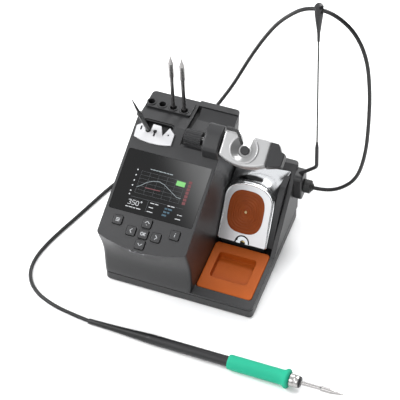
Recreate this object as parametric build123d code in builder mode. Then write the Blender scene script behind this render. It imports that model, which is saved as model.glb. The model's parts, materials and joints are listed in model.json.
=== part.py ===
"""Soldering iron station with sponge and brass-wool tip cleaner, holder, cable collector and handpiece.

Millimetres. +X right, +Y back, +Z up. The origin is on the table, under the middle of the casing.
"""
from build123d import *
import math
import os

os.makedirs("parts", exist_ok=True)

# ---- Driving dimensions of the casing ----
HALF_W = 77.5            # half of the casing's width
HALF_D = 70.2            # half of its depth at the base
BLOCK_R = 14.5           # right face of the control block, left face of the well
TRAY_BOTTOM = 1.2
SEAM_LOW = 13.0          # top of the base tray
SEAM = 13.3              # bottom of the upper casing
FLOOR = 3.7              # inner floor of the base tray
WALL = 3.0
RIM_Z = 15.5             # front rim of the well
BACK_Y = 75.5            # back of the casing, above the leaning part of the rear wall
LEAN_Z = 66.0            # height where the rear wall stops leaning
LEAN = math.degrees(math.atan((BACK_Y - HALF_D) / (LEAN_Z - SEAM)))

# ---- Control panel ----
TILT = 22.2              # slope of the panel
LIP_Y, LIP_Z = -77.4, 83.7
PANEL_END = 121.5        # length of the panel up its slope, left of the step
STEP_X = -27.0           # step between the cartridge deck and the lower deck
COVER_DROP = 3.2         # vertical thickness of the top cover
TAN = math.tan(math.radians(TILT))
SIN = math.sin(math.radians(TILT))
COS = math.cos(math.radians(TILT))
PANEL = Plane(origin=(0, LIP_Y, LIP_Z), x_dir=(1, 0, 0), z_dir=(0, -SIN, COS))
REAR_SIN = math.sin(math.radians(LEAN))
REAR_COS = math.cos(math.radians(LEAN))
REAR = Plane(origin=(-31.5, 72.46, 36.0), x_dir=(-1, 0, 0), z_dir=(0, REAR_COS, -REAR_SIN))

# ---- Tool holder and tip cleaner ----
TILT_AXIS_Y, TILT_AXIS_Z = 28.0, 131.0
HEAD_TILT = 30.0
HEAD = Plane(
    origin=(0, 24, 140),
    x_dir=(1, 0, 0),
    z_dir=(0, -math.sin(math.radians(HEAD_TILT)), math.cos(math.radians(HEAD_TILT))),
)
BORE_X, BORE_V = 38.3, -2.4      # tool bore in the head's plane
COVER_SLOPE = 56.0
FACE = Plane(
    origin=(0, 3.5, 18.5),
    x_dir=(1, 0, 0),
    z_dir=(0, -math.sin(math.radians(COVER_SLOPE)), math.cos(math.radians(COVER_SLOPE))),
)
MEMBRANE_X, MEMBRANE_V = 39.3, 32.2

# ---- Cartridge sockets and the holder's arm ----
SOCKET_PLACES = [(-72.0, 60.2), (-60.4, 59.8), (-48.7, 59.3), (-37.0, 58.9)]
ARM_X = (-2.8, 14.5)

# ---- Cable collector, cable and handpiece ----
COLLECTOR_Y = 64.0
CABLE_D = 3.8
PLUG_Z = 57.0
HAND_TAIL = Vector(-72.1, -126.2, 3.0)
HAND_TIP = Vector(190.5, -131.6, 11.5)
HAND_DIR = (HAND_TIP - HAND_TAIL).normalized()
HAND = Plane(origin=HAND_TAIL, x_dir=HAND_DIR, z_dir=HAND_DIR.cross(Vector(0, 0, 1)))
HAND_AXIS = Axis(HAND_TAIL, HAND_DIR)


def panel_z(y):
    """Height of the panel's surface at a given depth."""
    return LIP_Z + (y - LIP_Y) * TAN


LEFT_TOP = [(-95, panel_z(-95)), (35.1, panel_z(35.1)), (54, 126.6), (82, 124.5)]
RIGHT_TOP = [(-95, panel_z(-95)), (19, panel_z(19)), (82, 119.7)]


def band(points, drop):
    """Outline between a profile and the same profile lowered by drop."""
    return points + [(y, z - drop) for y, z in reversed(points)]


def below(points, drop):
    """Outline of everything below a profile that is lowered by drop."""
    return [(y, z - drop) for y, z in points] + [(82, 0), (-95, 0)]


# Height, front edge at the sides, forward bulge of the front, rear edge
BLOCK_SECTIONS = [
    (SEAM, -70.2, 0.15, 70.2),
    (30.0, -70.0, 0.3, 71.88),
    (46.5, -69.8, 1.2, 73.54),
    (66.0, -73.2, 4.6, 75.5),
    (84.0, -77.9, 9.0, 75.5),
    (106.0, -77.9, 9.0, 75.5),
    (150.0, -77.9, 9.0, 75.5),
]

with BuildPart() as block_form:
    for height, front_y, bulge, rear_y in BLOCK_SECTIONS:
        with BuildSketch(Plane.XY.offset(height)) as block_section:
            with BuildLine():
                ThreePointArc(
                    (-HALF_W, front_y), ((BLOCK_R - HALF_W) / 2, front_y - bulge), (BLOCK_R, front_y)
                )
                Polyline((BLOCK_R, front_y), (BLOCK_R, rear_y), (-HALF_W, rear_y), (-HALF_W, front_y))
            make_face()
            fillet(block_section.vertices(), 4.0)
    loft()

with BuildPart() as cavity_form:
    for height, front_y, bulge, rear_y in BLOCK_SECTIONS:
        with BuildSketch(Plane.XY.offset(height)) as cavity_section:
            with BuildLine():
                left, right = -HALF_W + WALL, BLOCK_R - WALL
                ThreePointArc(
                    (left, front_y + WALL),
                    ((left + right) / 2, front_y + WALL - bulge),
                    (right, front_y + WALL),
                )
                Polyline(
                    (right, front_y + WALL), (right, rear_y - WALL), (left, rear_y - WALL),
                    (left, front_y + WALL),
                )
            make_face()
            fillet(cavity_section.vertices(), 2.0)
    loft()

with BuildPart() as under_cover:
    with BuildSketch(Plane.YZ.offset(-90)):
        with BuildLine():
            Polyline(*below(LEFT_TOP, COVER_DROP), close=True)
        make_face()
    extrude(amount=90 + STEP_X - WALL)
    with BuildSketch(Plane.YZ.offset(STEP_X - WALL)):
        with BuildLine():
            Polyline(*below(RIGHT_TOP, COVER_DROP), close=True)
        make_face()
    extrude(amount=120)

# ---- Base tray, feet and screws ----
FOOT_PLACES = [(-64, -54), (64, -54), (-64, 54), (64, 54), (0, 0)]
BOSS_PLACES = [(-70.5, -63), (7.5, -63), (-70.5, 62.5), (7.5, 62.5)]
FOOT_R = 6.0
TRANSFORMER_X, TRANSFORMER_Y = -32.0, 12.0

with BuildPart() as base_tray:
    with BuildSketch(Plane.XY.offset(TRAY_BOTTOM)):
        RectangleRounded(2 * HALF_W, 2 * HALF_D, 4.5)
    extrude(amount=SEAM_LOW - TRAY_BOTTOM)
    fillet(base_tray.faces().sort_by(Axis.Z)[0].edges(), 1.5)
    with BuildSketch(Plane.XY.offset(FLOOR)):
        RectangleRounded(2 * HALF_W - 5, 2 * HALF_D - 5, 3)
    extrude(amount=SEAM_LOW, mode=Mode.SUBTRACT)
    # Shadow groove under the upper casing
    with BuildSketch(Plane.XY.offset(SEAM_LOW - 0.8)):
        Rectangle(2 * HALF_W + 4, 2 * HALF_D + 4)
        RectangleRounded(2 * HALF_W - 2.4, 2 * HALF_D - 2.4, 3.5, mode=Mode.SUBTRACT)
    extrude(amount=2, mode=Mode.SUBTRACT)
    with BuildSketch(Plane.XY.offset(TRAY_BOTTOM)):
        with Locations(*FOOT_PLACES):
            Circle(FOOT_R)
    extrude(amount=1.0, mode=Mode.SUBTRACT)
    with BuildSketch(Plane.XY.offset(TRAY_BOTTOM)):
        with Locations(*BOSS_PLACES):
            Circle(3.3)
        with Locations((TRANSFORMER_X, TRANSFORMER_Y)):
            Circle(6.2)
    extrude(amount=1.3, mode=Mode.SUBTRACT)
    with BuildSketch(Plane.XY.offset(TRAY_BOTTOM)):
        with Locations(*BOSS_PLACES):
            Circle(1.7)
        with Locations((TRANSFORMER_X, TRANSFORMER_Y)):
            Circle(3.2)
    extrude(amount=FLOOR, mode=Mode.SUBTRACT)
base_tray.part.label = "base_tray"
export_step(base_tray.part, "parts/base_tray.step")

with BuildPart() as rubber_feet:
    with BuildSketch():
        with Locations(*FOOT_PLACES):
            Circle(FOOT_R - 0.05)
    extrude(amount=TRAY_BOTTOM + 0.95)
rubber_feet.part.label = "rubber_feet"
export_step(rubber_feet.part, "parts/rubber_feet.step")

with BuildPart() as base_screws:
    with BuildSketch(Plane.XY.offset(TRAY_BOTTOM + 0.1)):
        with Locations(*BOSS_PLACES):
            Circle(2.9)
    extrude(amount=1.15)
    with BuildSketch(Plane.XY.offset(TRAY_BOTTOM + 0.1)):
        with Locations(*BOSS_PLACES):
            Circle(1.25)
    extrude(amount=12)
    with BuildSketch(Plane.XY.offset(TRAY_BOTTOM + 0.1)):
        with Locations(*BOSS_PLACES):
            RegularPolygon(1.2, 6)
    extrude(amount=0.7, mode=Mode.SUBTRACT)
base_screws.part.label = "base_screws"
export_step(base_screws.part, "parts/base_screws.step")

# ---- Upper casing: control block and well ----
WELL_FLOOR = 5.4
WELL_R = 73.0            # right wall's inner face
RIM_Y = -3.0             # where the right wall's rim starts to rise
RIM_TOP_Z = 78.0
WELL_FRONT = -60.0
WELL_REAR = 65.0
WELL_MID = ((BLOCK_R + WELL_R) / 2, (WELL_FRONT + WELL_REAR) / 2)

with BuildPart() as housing:
    add(block_form.part)
    with BuildSketch(Plane.YZ.offset(BLOCK_R - 2)):
        with BuildLine():
            Polyline(
                (-HALF_D, SEAM), (-HALF_D, RIM_Z), (RIM_Y, RIM_Z), (70, RIM_TOP_Z), (BACK_Y, RIM_TOP_Z),
                (BACK_Y, LEAN_Z), (HALF_D, SEAM), close=True,
            )
        make_face()
    extrude(amount=HALF_W - BLOCK_R + 2)
    well_corners = housing.edges().filter_by(Axis.Z).filter_by_position(Axis.X, 77, 78)
    fillet(well_corners, 4.5)
    add(under_cover.part, mode=Mode.INTERSECT)
    add(cavity_form.part, mode=Mode.SUBTRACT)
    # Tub of the well, hanging into the base tray
    with BuildSketch(Plane.XY.offset(WELL_FLOOR - 1.5)):
        with Locations(WELL_MID):
            RectangleRounded(WELL_R - BLOCK_R + 3.2, WELL_REAR - WELL_FRONT + 3.2, 3)
    extrude(amount=SEAM - WELL_FLOOR + 1.6)
    with BuildSketch(Plane.XY.offset(WELL_FLOOR)):
        with Locations(WELL_MID):
            RectangleRounded(WELL_R - BLOCK_R, WELL_REAR - WELL_FRONT, 3)
    extrude(amount=130, mode=Mode.SUBTRACT)
    # Screw bosses on the base tray's floor
    with BuildSketch(Plane.XY.offset(FLOOR + 0.05)):
        with Locations(*BOSS_PLACES):
            Circle(4.2)
    extrude(amount=12)
    with BuildSketch(Plane.XY.offset(FLOOR)):
        with Locations(*BOSS_PLACES):
            Circle(1.3)
    extrude(amount=11, mode=Mode.SUBTRACT)
    # Window for the rear panel, with a rebate round it
    with BuildSketch(REAR.offset(4)):
        RectangleRounded(80, 38, 2)
    extrude(amount=-5.6, mode=Mode.SUBTRACT)
    with BuildSketch(REAR.offset(4)):
        RectangleRounded(74, 32.4, 2)
    extrude(amount=-12, mode=Mode.SUBTRACT)
    # Slot for the data port, under the lip
    with BuildSketch(Plane.XZ.offset(90)):
        with Locations((-35, 73.8)):
            RectangleRounded(16, 2.6, 1.2)
    extrude(amount=-20, mode=Mode.SUBTRACT)
    # Room behind the lip for the lowest key
    with BuildSketch(PANEL.offset(-2.96)):
        with Locations((-32.1, -1.3)):
            Rectangle(12.4, 12.6)
    extrude(amount=-6, mode=Mode.SUBTRACT)
    # Relief in the left wall for the outermost cartridge socket
    with BuildSketch(Plane.XY.offset(97)):
        with Locations(SOCKET_PLACES[0]):
            Circle(4.6)
    extrude(amount=30, mode=Mode.SUBTRACT)
    # Socket hole for the tool plug, in the right wall
    with BuildSketch(Plane.YZ.offset(WELL_R - 1)):
        with Locations((COLLECTOR_Y, PLUG_Z)):
            Circle(3.2)
    extrude(amount=6, mode=Mode.SUBTRACT)
housing.part.label = "housing"
export_step(housing.part, "parts/housing.step")

# ---- Top cover ----
SCREEN_X = (-74.7, 11.5)
SCREEN_U = (26.8, 90.0)
SCREEN_MID = (sum(SCREEN_X) / 2, sum(SCREEN_U) / 2)
GLASS_T = 1.2
KEY_SIZE = 9.3
KEY_GAP = 0.35
KEYS = {
    "key_menu": (-61.1, 16.9),
    "key_up": (-32.0, 20.4),
    "key_left": (-44.9, 9.6),
    "key_ok": (-32.1, 9.4),
    "key_right": (-19.2, 9.3),
    "key_down": (-32.1, -1.4),
    "key_info": (-2.1, 16.2),
}

with BuildPart() as top_cover:
    with BuildSketch(Plane.YZ.offset(-90)):
        with BuildLine():
            Polyline(*band(LEFT_TOP, COVER_DROP), close=True)
        make_face()
    extrude(amount=90 + STEP_X)
    with BuildSketch(Plane.YZ.offset(STEP_X)):
        with BuildLine():
            Polyline(*band(RIGHT_TOP, COVER_DROP), close=True)
        make_face()
    extrude(amount=60)
    # Step wall between the two decks
    with BuildSketch(Plane.YZ.offset(STEP_X - WALL)):
        with BuildLine():
            Polyline((19, panel_z(19) - COVER_DROP), *LEFT_TOP[1:], (82, 119.7 - COVER_DROP), close=True)
        make_face()
    extrude(amount=WALL)
    # Raised ledge at the rear of the lower deck
    with BuildSketch(Plane.YZ.offset(STEP_X)):
        with BuildLine():
            Polyline((71.4, 118.4), (72.3, 126.4), (82, 126.4), (82, 117.2), close=True)
        make_face()
    extrude(amount=60)
    add(block_form.part, mode=Mode.INTERSECT)
    # Screen recess and display window
    with BuildSketch(PANEL):
        with Locations(SCREEN_MID):
            RectangleRounded(SCREEN_X[1] - SCREEN_X[0], SCREEN_U[1] - SCREEN_U[0], 2.0)
    extrude(amount=-GLASS_T - 0.05, mode=Mode.SUBTRACT)
    with BuildSketch(PANEL):
        with Locations(SCREEN_MID):
            RectangleRounded(70, 52, 1.5)
    extrude(amount=-6, mode=Mode.SUBTRACT)
    # Key holes
    with BuildSketch(PANEL.offset(1)):
        with Locations(*KEYS.values()):
            RectangleRounded(KEY_SIZE + 2 * KEY_GAP, KEY_SIZE + 2 * KEY_GAP, 1.9)
    extrude(amount=-6, mode=Mode.SUBTRACT)
    # Opening under the extractor plate
    with BuildSketch(PANEL.offset(1)):
        with Locations((-54.5, 113)):
            RectangleRounded(33, 21.5, 4)
    extrude(amount=-7, mode=Mode.SUBTRACT)
    # Opening for the cartridge holder
    with BuildSketch(Plane.XY.offset(110)):
        with Locations((-53.0, 63.75)):
            RectangleRounded(42, 15, 2)
        with Locations(SOCKET_PLACES[0]):
            Circle(4.5)
    extrude(amount=30, mode=Mode.SUBTRACT)
    # Opening for the foot of the holder arm
    with BuildSketch(Plane.XY.offset(110)):
        with Locations((5.4, 28.5)):
            RectangleRounded(11.6, 22, 2)
    extrude(amount=30, mode=Mode.SUBTRACT)
    # Scoop under the adjusting knob
    with BuildSketch(Plane.YZ.offset(STEP_X + 0.4)):
        with Locations((TILT_AXIS_Y, TILT_AXIS_Z)):
            Circle(10.2)
    extrude(amount=23, mode=Mode.SUBTRACT)
top_cover.part.label = "top_cover"
export_step(top_cover.part, "parts/top_cover.step")

# ---- Screen, keys and electronics ----
with BuildPart() as screen_glass:
    with BuildSketch(PANEL.offset(-GLASS_T)):
        with Locations(SCREEN_MID):
            RectangleRounded(SCREEN_X[1] - SCREEN_X[0] - 0.4, SCREEN_U[1] - SCREEN_U[0] - 0.4, 1.8)
    extrude(amount=GLASS_T + 0.1)
screen_glass.part.label = "screen_glass"
export_step(screen_glass.part, "parts/screen_glass.step")

with BuildPart() as display_module:
    with BuildSketch(PANEL.offset(-GLASS_T - 0.1)):
        with Locations(SCREEN_MID):
            Rectangle(68, 50)
    extrude(amount=-4)
    with BuildSketch(PANEL.offset(-GLASS_T - 4.1)):
        with Locations(SCREEN_MID):
            Rectangle(74, 56)
    extrude(amount=-1.6)
display_module.part.label = "display_module"
export_step(display_module.part, "parts/display_module.step")

KEY_TOP = 1.3
KEY_FLANGE_TOP = -3.1
for key_name, key_place in KEYS.items():
    with BuildPart() as key:
        with BuildSketch(PANEL.offset(KEY_FLANGE_TOP - 0.5)):
            with Locations(key_place):
                RectangleRounded(KEY_SIZE, KEY_SIZE, 1.6)
        extrude(amount=KEY_TOP - KEY_FLANGE_TOP + 0.5)
        chamfer(key.faces().sort_by(Axis(PANEL.origin, PANEL.z_dir))[-1].edges(), 0.4)
        with BuildSketch(PANEL.offset(KEY_FLANGE_TOP - 1.0)):
            with Locations(key_place):
                RectangleRounded(10.7, 10.7, 2.0)
        extrude(amount=1.0)
        with BuildSketch(PANEL.offset(KEY_FLANGE_TOP - 1.4)):
            with Locations(key_place):
                Circle(1.5)
        extrude(amount=1.0)
    key.part.label = key_name
    export_step(key.part, f"parts/{key_name}.step")

BOARD_N = -7.7           # upper face of the keypad board, below the panel
with BuildPart() as keypad_board:
    with BuildSketch(PANEL.offset(BOARD_N)):
        with Locations((-31.0, 15.0)):
            Rectangle(72, 20)
        with Locations((-32.0, 1.5)):
            Rectangle(14, 9)
    extrude(amount=-1.4)
keypad_board.part.label = "keypad_board"
export_step(keypad_board.part, "parts/keypad_board.step")

with BuildPart() as tact_switches:
    with BuildSketch(PANEL.offset(BOARD_N)):
        with Locations(*KEYS.values()):
            Rectangle(6, 6)
    extrude(amount=1.6)
    with BuildSketch(PANEL.offset(BOARD_N)):
        with Locations(*KEYS.values()):
            Circle(1.6)
    extrude(amount=2.0)
tact_switches.part.label = "tact_switches"
export_step(tact_switches.part, "parts/tact_switches.step")

MAIN_BOARD_Z = 50.0
SPACER_PLACES = [(-62, -56), (2, -56), (-62, -28), (2, -28)]
with BuildPart() as board_spacers:
    with BuildSketch(Plane.XY.offset(FLOOR)):
        with Locations(*SPACER_PLACES):
            RegularPolygon(3.2, 6)
    extrude(amount=MAIN_BOARD_Z - FLOOR)
board_spacers.part.label = "board_spacers"
export_step(board_spacers.part, "parts/board_spacers.step")

with BuildPart() as main_board:
    with BuildSketch(Plane.XY.offset(MAIN_BOARD_Z)):
        with Locations((-30, -42)):
            Rectangle(76, 38)
    extrude(amount=1.6)
    with BuildSketch(Plane.XY.offset(MAIN_BOARD_Z + 1.6)):
        with Locations((-48, -36), (-33, -36)):
            Circle(5)
    extrude(amount=14)
    with BuildSketch(Plane.XY.offset(MAIN_BOARD_Z + 1.6)):
        with Locations((-12, -30)):
            Rectangle(26, 5)
        with Locations((-12, -44)):
            Rectangle(12, 12)
    extrude(amount=3)
main_board.part.label = "main_board"
export_step(main_board.part, "parts/main_board.step")

with BuildPart() as transformer:
    with BuildSketch(Plane.XZ.offset(-TRANSFORMER_Y)):
        with Locations((TRANSFORMER_X + 25.5, 23.2)):
            RectangleRounded(25, 38, 7)
    revolve(axis=Axis((TRANSFORMER_X, TRANSFORMER_Y, 0), (0, 0, 1)))
transformer.part.label = "transformer"
export_step(transformer.part, "parts/transformer.step")

with BuildPart() as transformer_bolt:
    with BuildSketch(Plane.XZ.offset(-TRANSFORMER_Y)):
        with BuildLine():
            x0 = TRANSFORMER_X
            Polyline(
                (x0, 1.4), (x0 + 6, 1.4), (x0 + 6, 2.45), (x0 + 3, 2.45), (x0 + 3, 42.3), (x0 + 20, 42.3),
                (x0 + 20, 43.8), (x0 + 5.5, 43.8), (x0 + 5.5, 47.5), (x0, 47.5), close=True,
            )
        make_face()
    revolve(axis=Axis((TRANSFORMER_X, TRANSFORMER_Y, 0), (0, 0, 1)))
transformer_bolt.part.label = "transformer_bolt"
export_step(transformer_bolt.part, "parts/transformer_bolt.step")

with BuildPart() as data_port:
    with BuildSketch(Plane.XZ.offset(81.9)):
        with Locations((-35, 73.8)):
            RectangleRounded(15.6, 2.2, 1.0)
    extrude(amount=-2.9)
    with BuildSketch(Plane.XZ.offset(81.9)):
        with Locations((-35, 73.8)):
            Rectangle(12, 1.2)
    extrude(amount=-2, mode=Mode.SUBTRACT)
data_port.part.label = "data_port"
export_step(data_port.part, "parts/data_port.step")

# ---- Rear panel ----
INLET = (-21.0, -5.0)
FUSE = (-21.0, 12.0)
SWITCH = (9.0, 0.0)
EARTH = (28.0, 7.5)
PANEL_SCREWS = [(-38.0, -16.9), (38.0, -16.9), (-38.0, 16.9), (38.0, 16.9)]
with BuildPart() as rear_panel:
    with BuildSketch(REAR.offset(-1.55)):
        RectangleRounded(79.6, 37.6, 1.8)
    extrude(amount=1.5)
    with BuildSketch(REAR.offset(1)):
        with Locations(INLET):
            Rectangle(27.4, 20.4)
        with Locations(FUSE):
            Rectangle(20.4, 8.4)
        with Locations(SWITCH):
            Rectangle(13.0, 19.4)
        with Locations(EARTH):
            Circle(4.1)
        with Locations(*PANEL_SCREWS):
            Circle(1.1)
    extrude(amount=-4, mode=Mode.SUBTRACT)
rear_panel.part.label = "rear_panel"
export_step(rear_panel.part, "parts/rear_panel.step")

with BuildPart() as rear_screws:
    with BuildSketch(REAR):
        with Locations(*PANEL_SCREWS):
            Circle(1.9)
    extrude(amount=1.2)
    with BuildSketch(REAR.offset(1.2)):
        with Locations(*PANEL_SCREWS):
            RegularPolygon(0.9, 6)
    extrude(amount=-0.7, mode=Mode.SUBTRACT)
    with BuildSketch(REAR.offset(-1.5)):
        with Locations(*PANEL_SCREWS):
            Circle(1.0)
    extrude(amount=1.6)
rear_screws.part.label = "rear_screws"
export_step(rear_screws.part, "parts/rear_screws.step")

with BuildPart() as mains_inlet:
    with BuildSketch(REAR):
        with Locations(INLET):
            RectangleRounded(31, 24, 2)
    extrude(amount=2)
    with BuildSketch(REAR):
        with Locations(INLET):
            Rectangle(27, 20)
    extrude(amount=-16)
    with BuildSketch(REAR.offset(2)) as inlet_mouth:
        with Locations(INLET):
            Rectangle(24.4, 16.4)
        chamfer(inlet_mouth.vertices().group_by(Axis.Y)[0], 4)
    extrude(amount=-15, mode=Mode.SUBTRACT)
mains_inlet.part.label = "mains_inlet"
export_step(mains_inlet.part, "parts/mains_inlet.step")

with BuildPart() as inlet_pins:
    with BuildSketch(REAR.offset(-12.95)):
        with Locations((INLET[0] - 7, INLET[1] - 1.5), (INLET[0], INLET[1] + 2.5), (INLET[0] + 7, INLET[1] - 1.5)):
            Rectangle(2, 4)
    extrude(amount=7.95)
inlet_pins.part.label = "inlet_pins"
export_step(inlet_pins.part, "parts/inlet_pins.step")

with BuildPart() as fuse_drawer:
    with BuildSketch(REAR.offset(0.1)):
        with Locations(FUSE):
            RectangleRounded(22, 9.6, 1)
    extrude(amount=1.6)
    with BuildSketch(REAR.offset(0.2)):
        with Locations(FUSE):
            Rectangle(19.6, 7.6)
    extrude(amount=-15)
    with BuildSketch(REAR.offset(1.8)):
        with Locations((FUSE[0], FUSE[1] + 2.4)):
            Rectangle(8, 1.6)
    extrude(amount=-1, mode=Mode.SUBTRACT)
fuse_drawer.part.label = "fuse_drawer"
export_step(fuse_drawer.part, "parts/fuse_drawer.step")

with BuildPart() as switch_bezel:
    with BuildSketch(REAR):
        with Locations(SWITCH):
            RectangleRounded(15, 21, 1.5)
    extrude(amount=1.8)
    with BuildSketch(REAR):
        with Locations(SWITCH):
            Rectangle(12.8, 19.2)
    extrude(amount=-13)
    with BuildSketch(REAR.offset(2)):
        with Locations(SWITCH):
            Rectangle(10.8, 17)
    extrude(amount=-10, mode=Mode.SUBTRACT)
switch_bezel.part.label = "switch_bezel"
export_step(switch_bezel.part, "parts/switch_bezel.step")

ROCKER_SIDE = Plane(
    origin=REAR.from_local_coords((SWITCH[0] - 5.1, SWITCH[1], 0)),
    x_dir=REAR.y_dir,
    z_dir=REAR.x_dir,
)
with BuildPart() as power_rocker:
    with BuildSketch(ROCKER_SIDE):
        with BuildLine():
            Polyline((-7.2, 3.8), (0, 1.6), (7.4, 1.6), (7.0, -3.6), (0, -4.8), (-7.0, -2.6), close=True)
        make_face()
    extrude(amount=10.2)
power_rocker.part.label = "power_rocker"
export_step(power_rocker.part, "parts/power_rocker.step")

with BuildPart() as earth_socket:
    with BuildSketch(REAR):
        with Locations(EARTH):
            RegularPolygon(6.2, 6)
    extrude(amount=3)
    with BuildSketch(REAR.offset(4)):
        with Locations(EARTH):
            Circle(4)
    extrude(amount=-22)
    with BuildSketch(REAR.offset(5)):
        with Locations(EARTH):
            Circle(2.0)
    extrude(amount=-17, mode=Mode.SUBTRACT)
earth_socket.part.label = "earth_socket"
export_step(earth_socket.part, "parts/earth_socket.step")

# ---- Cartridge holder and spare cartridges ----
SOCKET_R = 3.4
DECK_SLOPE = (126.6 - 124.5) / (82 - 54)


def deck_z(y):
    """Height of the cartridge deck at a given depth."""
    return 126.6 - (y - 54) * DECK_SLOPE


with BuildPart() as cartridge_holder:
    with BuildSketch(Plane.YZ.offset(-75.6)):
        with BuildLine():
            Polyline(
                (54, deck_z(54) + 0.05), (73.4, deck_z(73.4) + 0.05), (73.4, deck_z(73.4) + 2.4),
                (54, deck_z(54) + 2.4), close=True,
            )
        make_face()
    extrude(amount=46.0)
    fillet(cartridge_holder.edges().filter_by(Axis.Z), 2.0)
    with BuildSketch(Plane.XY.offset(98)):
        with Locations((-53.0, 63.75)):
            RectangleRounded(41.4, 14.4, 1.8)
    extrude(amount=28.5)
    with BuildSketch(Plane.XY.offset(127.2)):
        with Locations(*SOCKET_PLACES):
            Circle(4.7)
    extrude(amount=2.5)
    with BuildSketch(Plane.XY.offset(98)):
        with Locations(SOCKET_PLACES[0]):
            Circle(4.3)
    extrude(amount=28.5)
    with BuildSketch(Plane.XY.offset(101)):
        with Locations(*SOCKET_PLACES):
            Circle(SOCKET_R)
    extrude(amount=40, mode=Mode.SUBTRACT)
cartridge_holder.part.label = "cartridge_holder"
export_step(cartridge_holder.part, "parts/cartridge_holder.step")

# Radius and height pairs from the buried end to the working tip
SPARE_PROFILE = [
    (0, 0), (1.9, 0), (1.9, 66), (2.1, 67), (2.1, 71), (2.65, 72), (2.65, 90), (2.0, 92.5), (1.1, 96), (0.5, 99.5),
    (0, 99.5),
]
for spare_name, spare_place in (("spare_cartridge_a", SOCKET_PLACES[2]), ("spare_cartridge_b", SOCKET_PLACES[3])):
    with BuildPart() as spare:
        with BuildSketch(Plane(origin=(*spare_place, 101.3), x_dir=(1, 0, 0), z_dir=(0, -1, 0))):
            with BuildLine():
                Polyline(*SPARE_PROFILE, close=True)
            make_face()
        revolve(axis=Axis((*spare_place, 0), (0, 0, 1)))
    spare.part.label = spare_name
    export_step(spare.part, f"parts/{spare_name}.step")

# ---- Extractor ----
NOTCH = (-62.2, 111.6)
PLATE_N = (0.1, 2.0)
with BuildPart() as extractor_plate:
    with BuildSketch(PANEL.offset(PLATE_N[0])):
        with BuildLine():
            ThreePointArc((-73.9, 101.9), (-54.5, 98.9), (-35.1, 101.7))
            Polyline(
                (-35.1, 101.7), (-35.3, 113.2), (-41.6, 118.5), (-46.4, 108.8), (-50.4, 118.3), (-58.6, 118.6),
                (-59.4, 111.6),
            )
            ThreePointArc((-59.4, 111.6), (-62.2, 108.8), (-65.0, 111.6))
            Polyline((-65.0, 111.6), (-66.2, 116.2), (-70.4, 116.6), (-74.7, 113.3), (-73.9, 101.9))
        make_face()
        with Locations((-54.8, 111.6)):
            Circle(1.9, mode=Mode.SUBTRACT)
        with Locations((-54.8, 109)):
            Rectangle(1.8, 5, mode=Mode.SUBTRACT)
        with Locations((-69.4, 112)):
            SlotOverall(4.6, 1.5, rotation=90, mode=Mode.SUBTRACT)
        with Locations((-41, 111)):
            Circle(0.9, mode=Mode.SUBTRACT)
    extrude(amount=PLATE_N[1] - PLATE_N[0])
extractor_plate.part.label = "extractor_plate"
export_step(extractor_plate.part, "parts/extractor_plate.step")

with BuildPart() as extractor_block:
    with BuildSketch(PANEL.offset(-20)):
        with Locations((-54.5, 113)):
            RectangleRounded(32.4, 20.9, 3.7)
    extrude(amount=17.6)
    with BuildSketch(PANEL.offset(-10)):
        with Locations((-54.5, 113)):
            RectangleRounded(29.4, 18.4, 2.4)
    extrude(amount=20, mode=Mode.SUBTRACT)
    with BuildSketch(PANEL.offset(-16)):
        with Locations(NOTCH, (-54.8, 110.6)):
            Circle(2.4)
    extrude(amount=20, mode=Mode.SUBTRACT)
extractor_block.part.label = "extractor_block"
export_step(extractor_block.part, "parts/extractor_block.step")

with BuildPart() as extractor_cartridge:
    with BuildSketch(Plane(origin=PANEL.from_local_coords((*NOTCH, 0)), x_dir=(1, 0, 0), z_dir=-PANEL.y_dir)):
        with BuildLine():
            Polyline(
                (0, -15.8), (2.1, -15.8), (2.1, 41), (2.7, 42), (2.7, 46), (1.5, 49), (1.2, 62), (0.45, 79.5),
                (0, 79.5), close=True,
            )
        make_face()
    revolve(axis=Axis(PANEL.from_local_coords((*NOTCH, 0)), PANEL.z_dir))
extractor_cartridge.part.label = "extractor_cartridge"
export_step(extractor_cartridge.part, "parts/extractor_cartridge.step")

# ---- Tool holder ----
SHAFT_R = 2.5
SHAFT_END = 28.0
with BuildPart() as holder_arm:
    with BuildSketch(Plane.YZ.offset(ARM_X[0])):
        with BuildLine():
            Polyline((14.5, 121.4), (13.2, 131.5))
            Spline((13.2, 131.5), (17.0, 138.6), (25.0, 143.6), (36.5, 146.0), tangents=[(-0.1, 1), (1, 0.1)])
            ThreePointArc((36.5, 146.0), (40.6, 143.6), (42.0, 139.0))
            Polyline((42.0, 139.0), (42.6, 121.95), (19, 123.2), (14.5, 121.4))
        make_face()
    extrude(amount=ARM_X[1] - ARM_X[0])
    side_faces = holder_arm.faces().filter_by(Axis.X)
    rounded = side_faces.edges().filter_by_position(Axis.Z, 130, 150)
    fillet(rounded, 2.2)
    with BuildSketch(Plane.XY.offset(112)):
        with Locations((5.4, 28.5)):
            RectangleRounded(11.0, 21.6, 1.8)
    extrude(amount=14)
    with BuildSketch(Plane.YZ.offset(ARM_X[0] - 1)):
        with Locations((TILT_AXIS_Y, TILT_AXIS_Z)):
            Circle(SHAFT_R + 0.06)
    extrude(amount=30, mode=Mode.SUBTRACT)
holder_arm.part.label = "holder_arm"
export_step(holder_arm.part, "parts/holder_arm.step")

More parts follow.
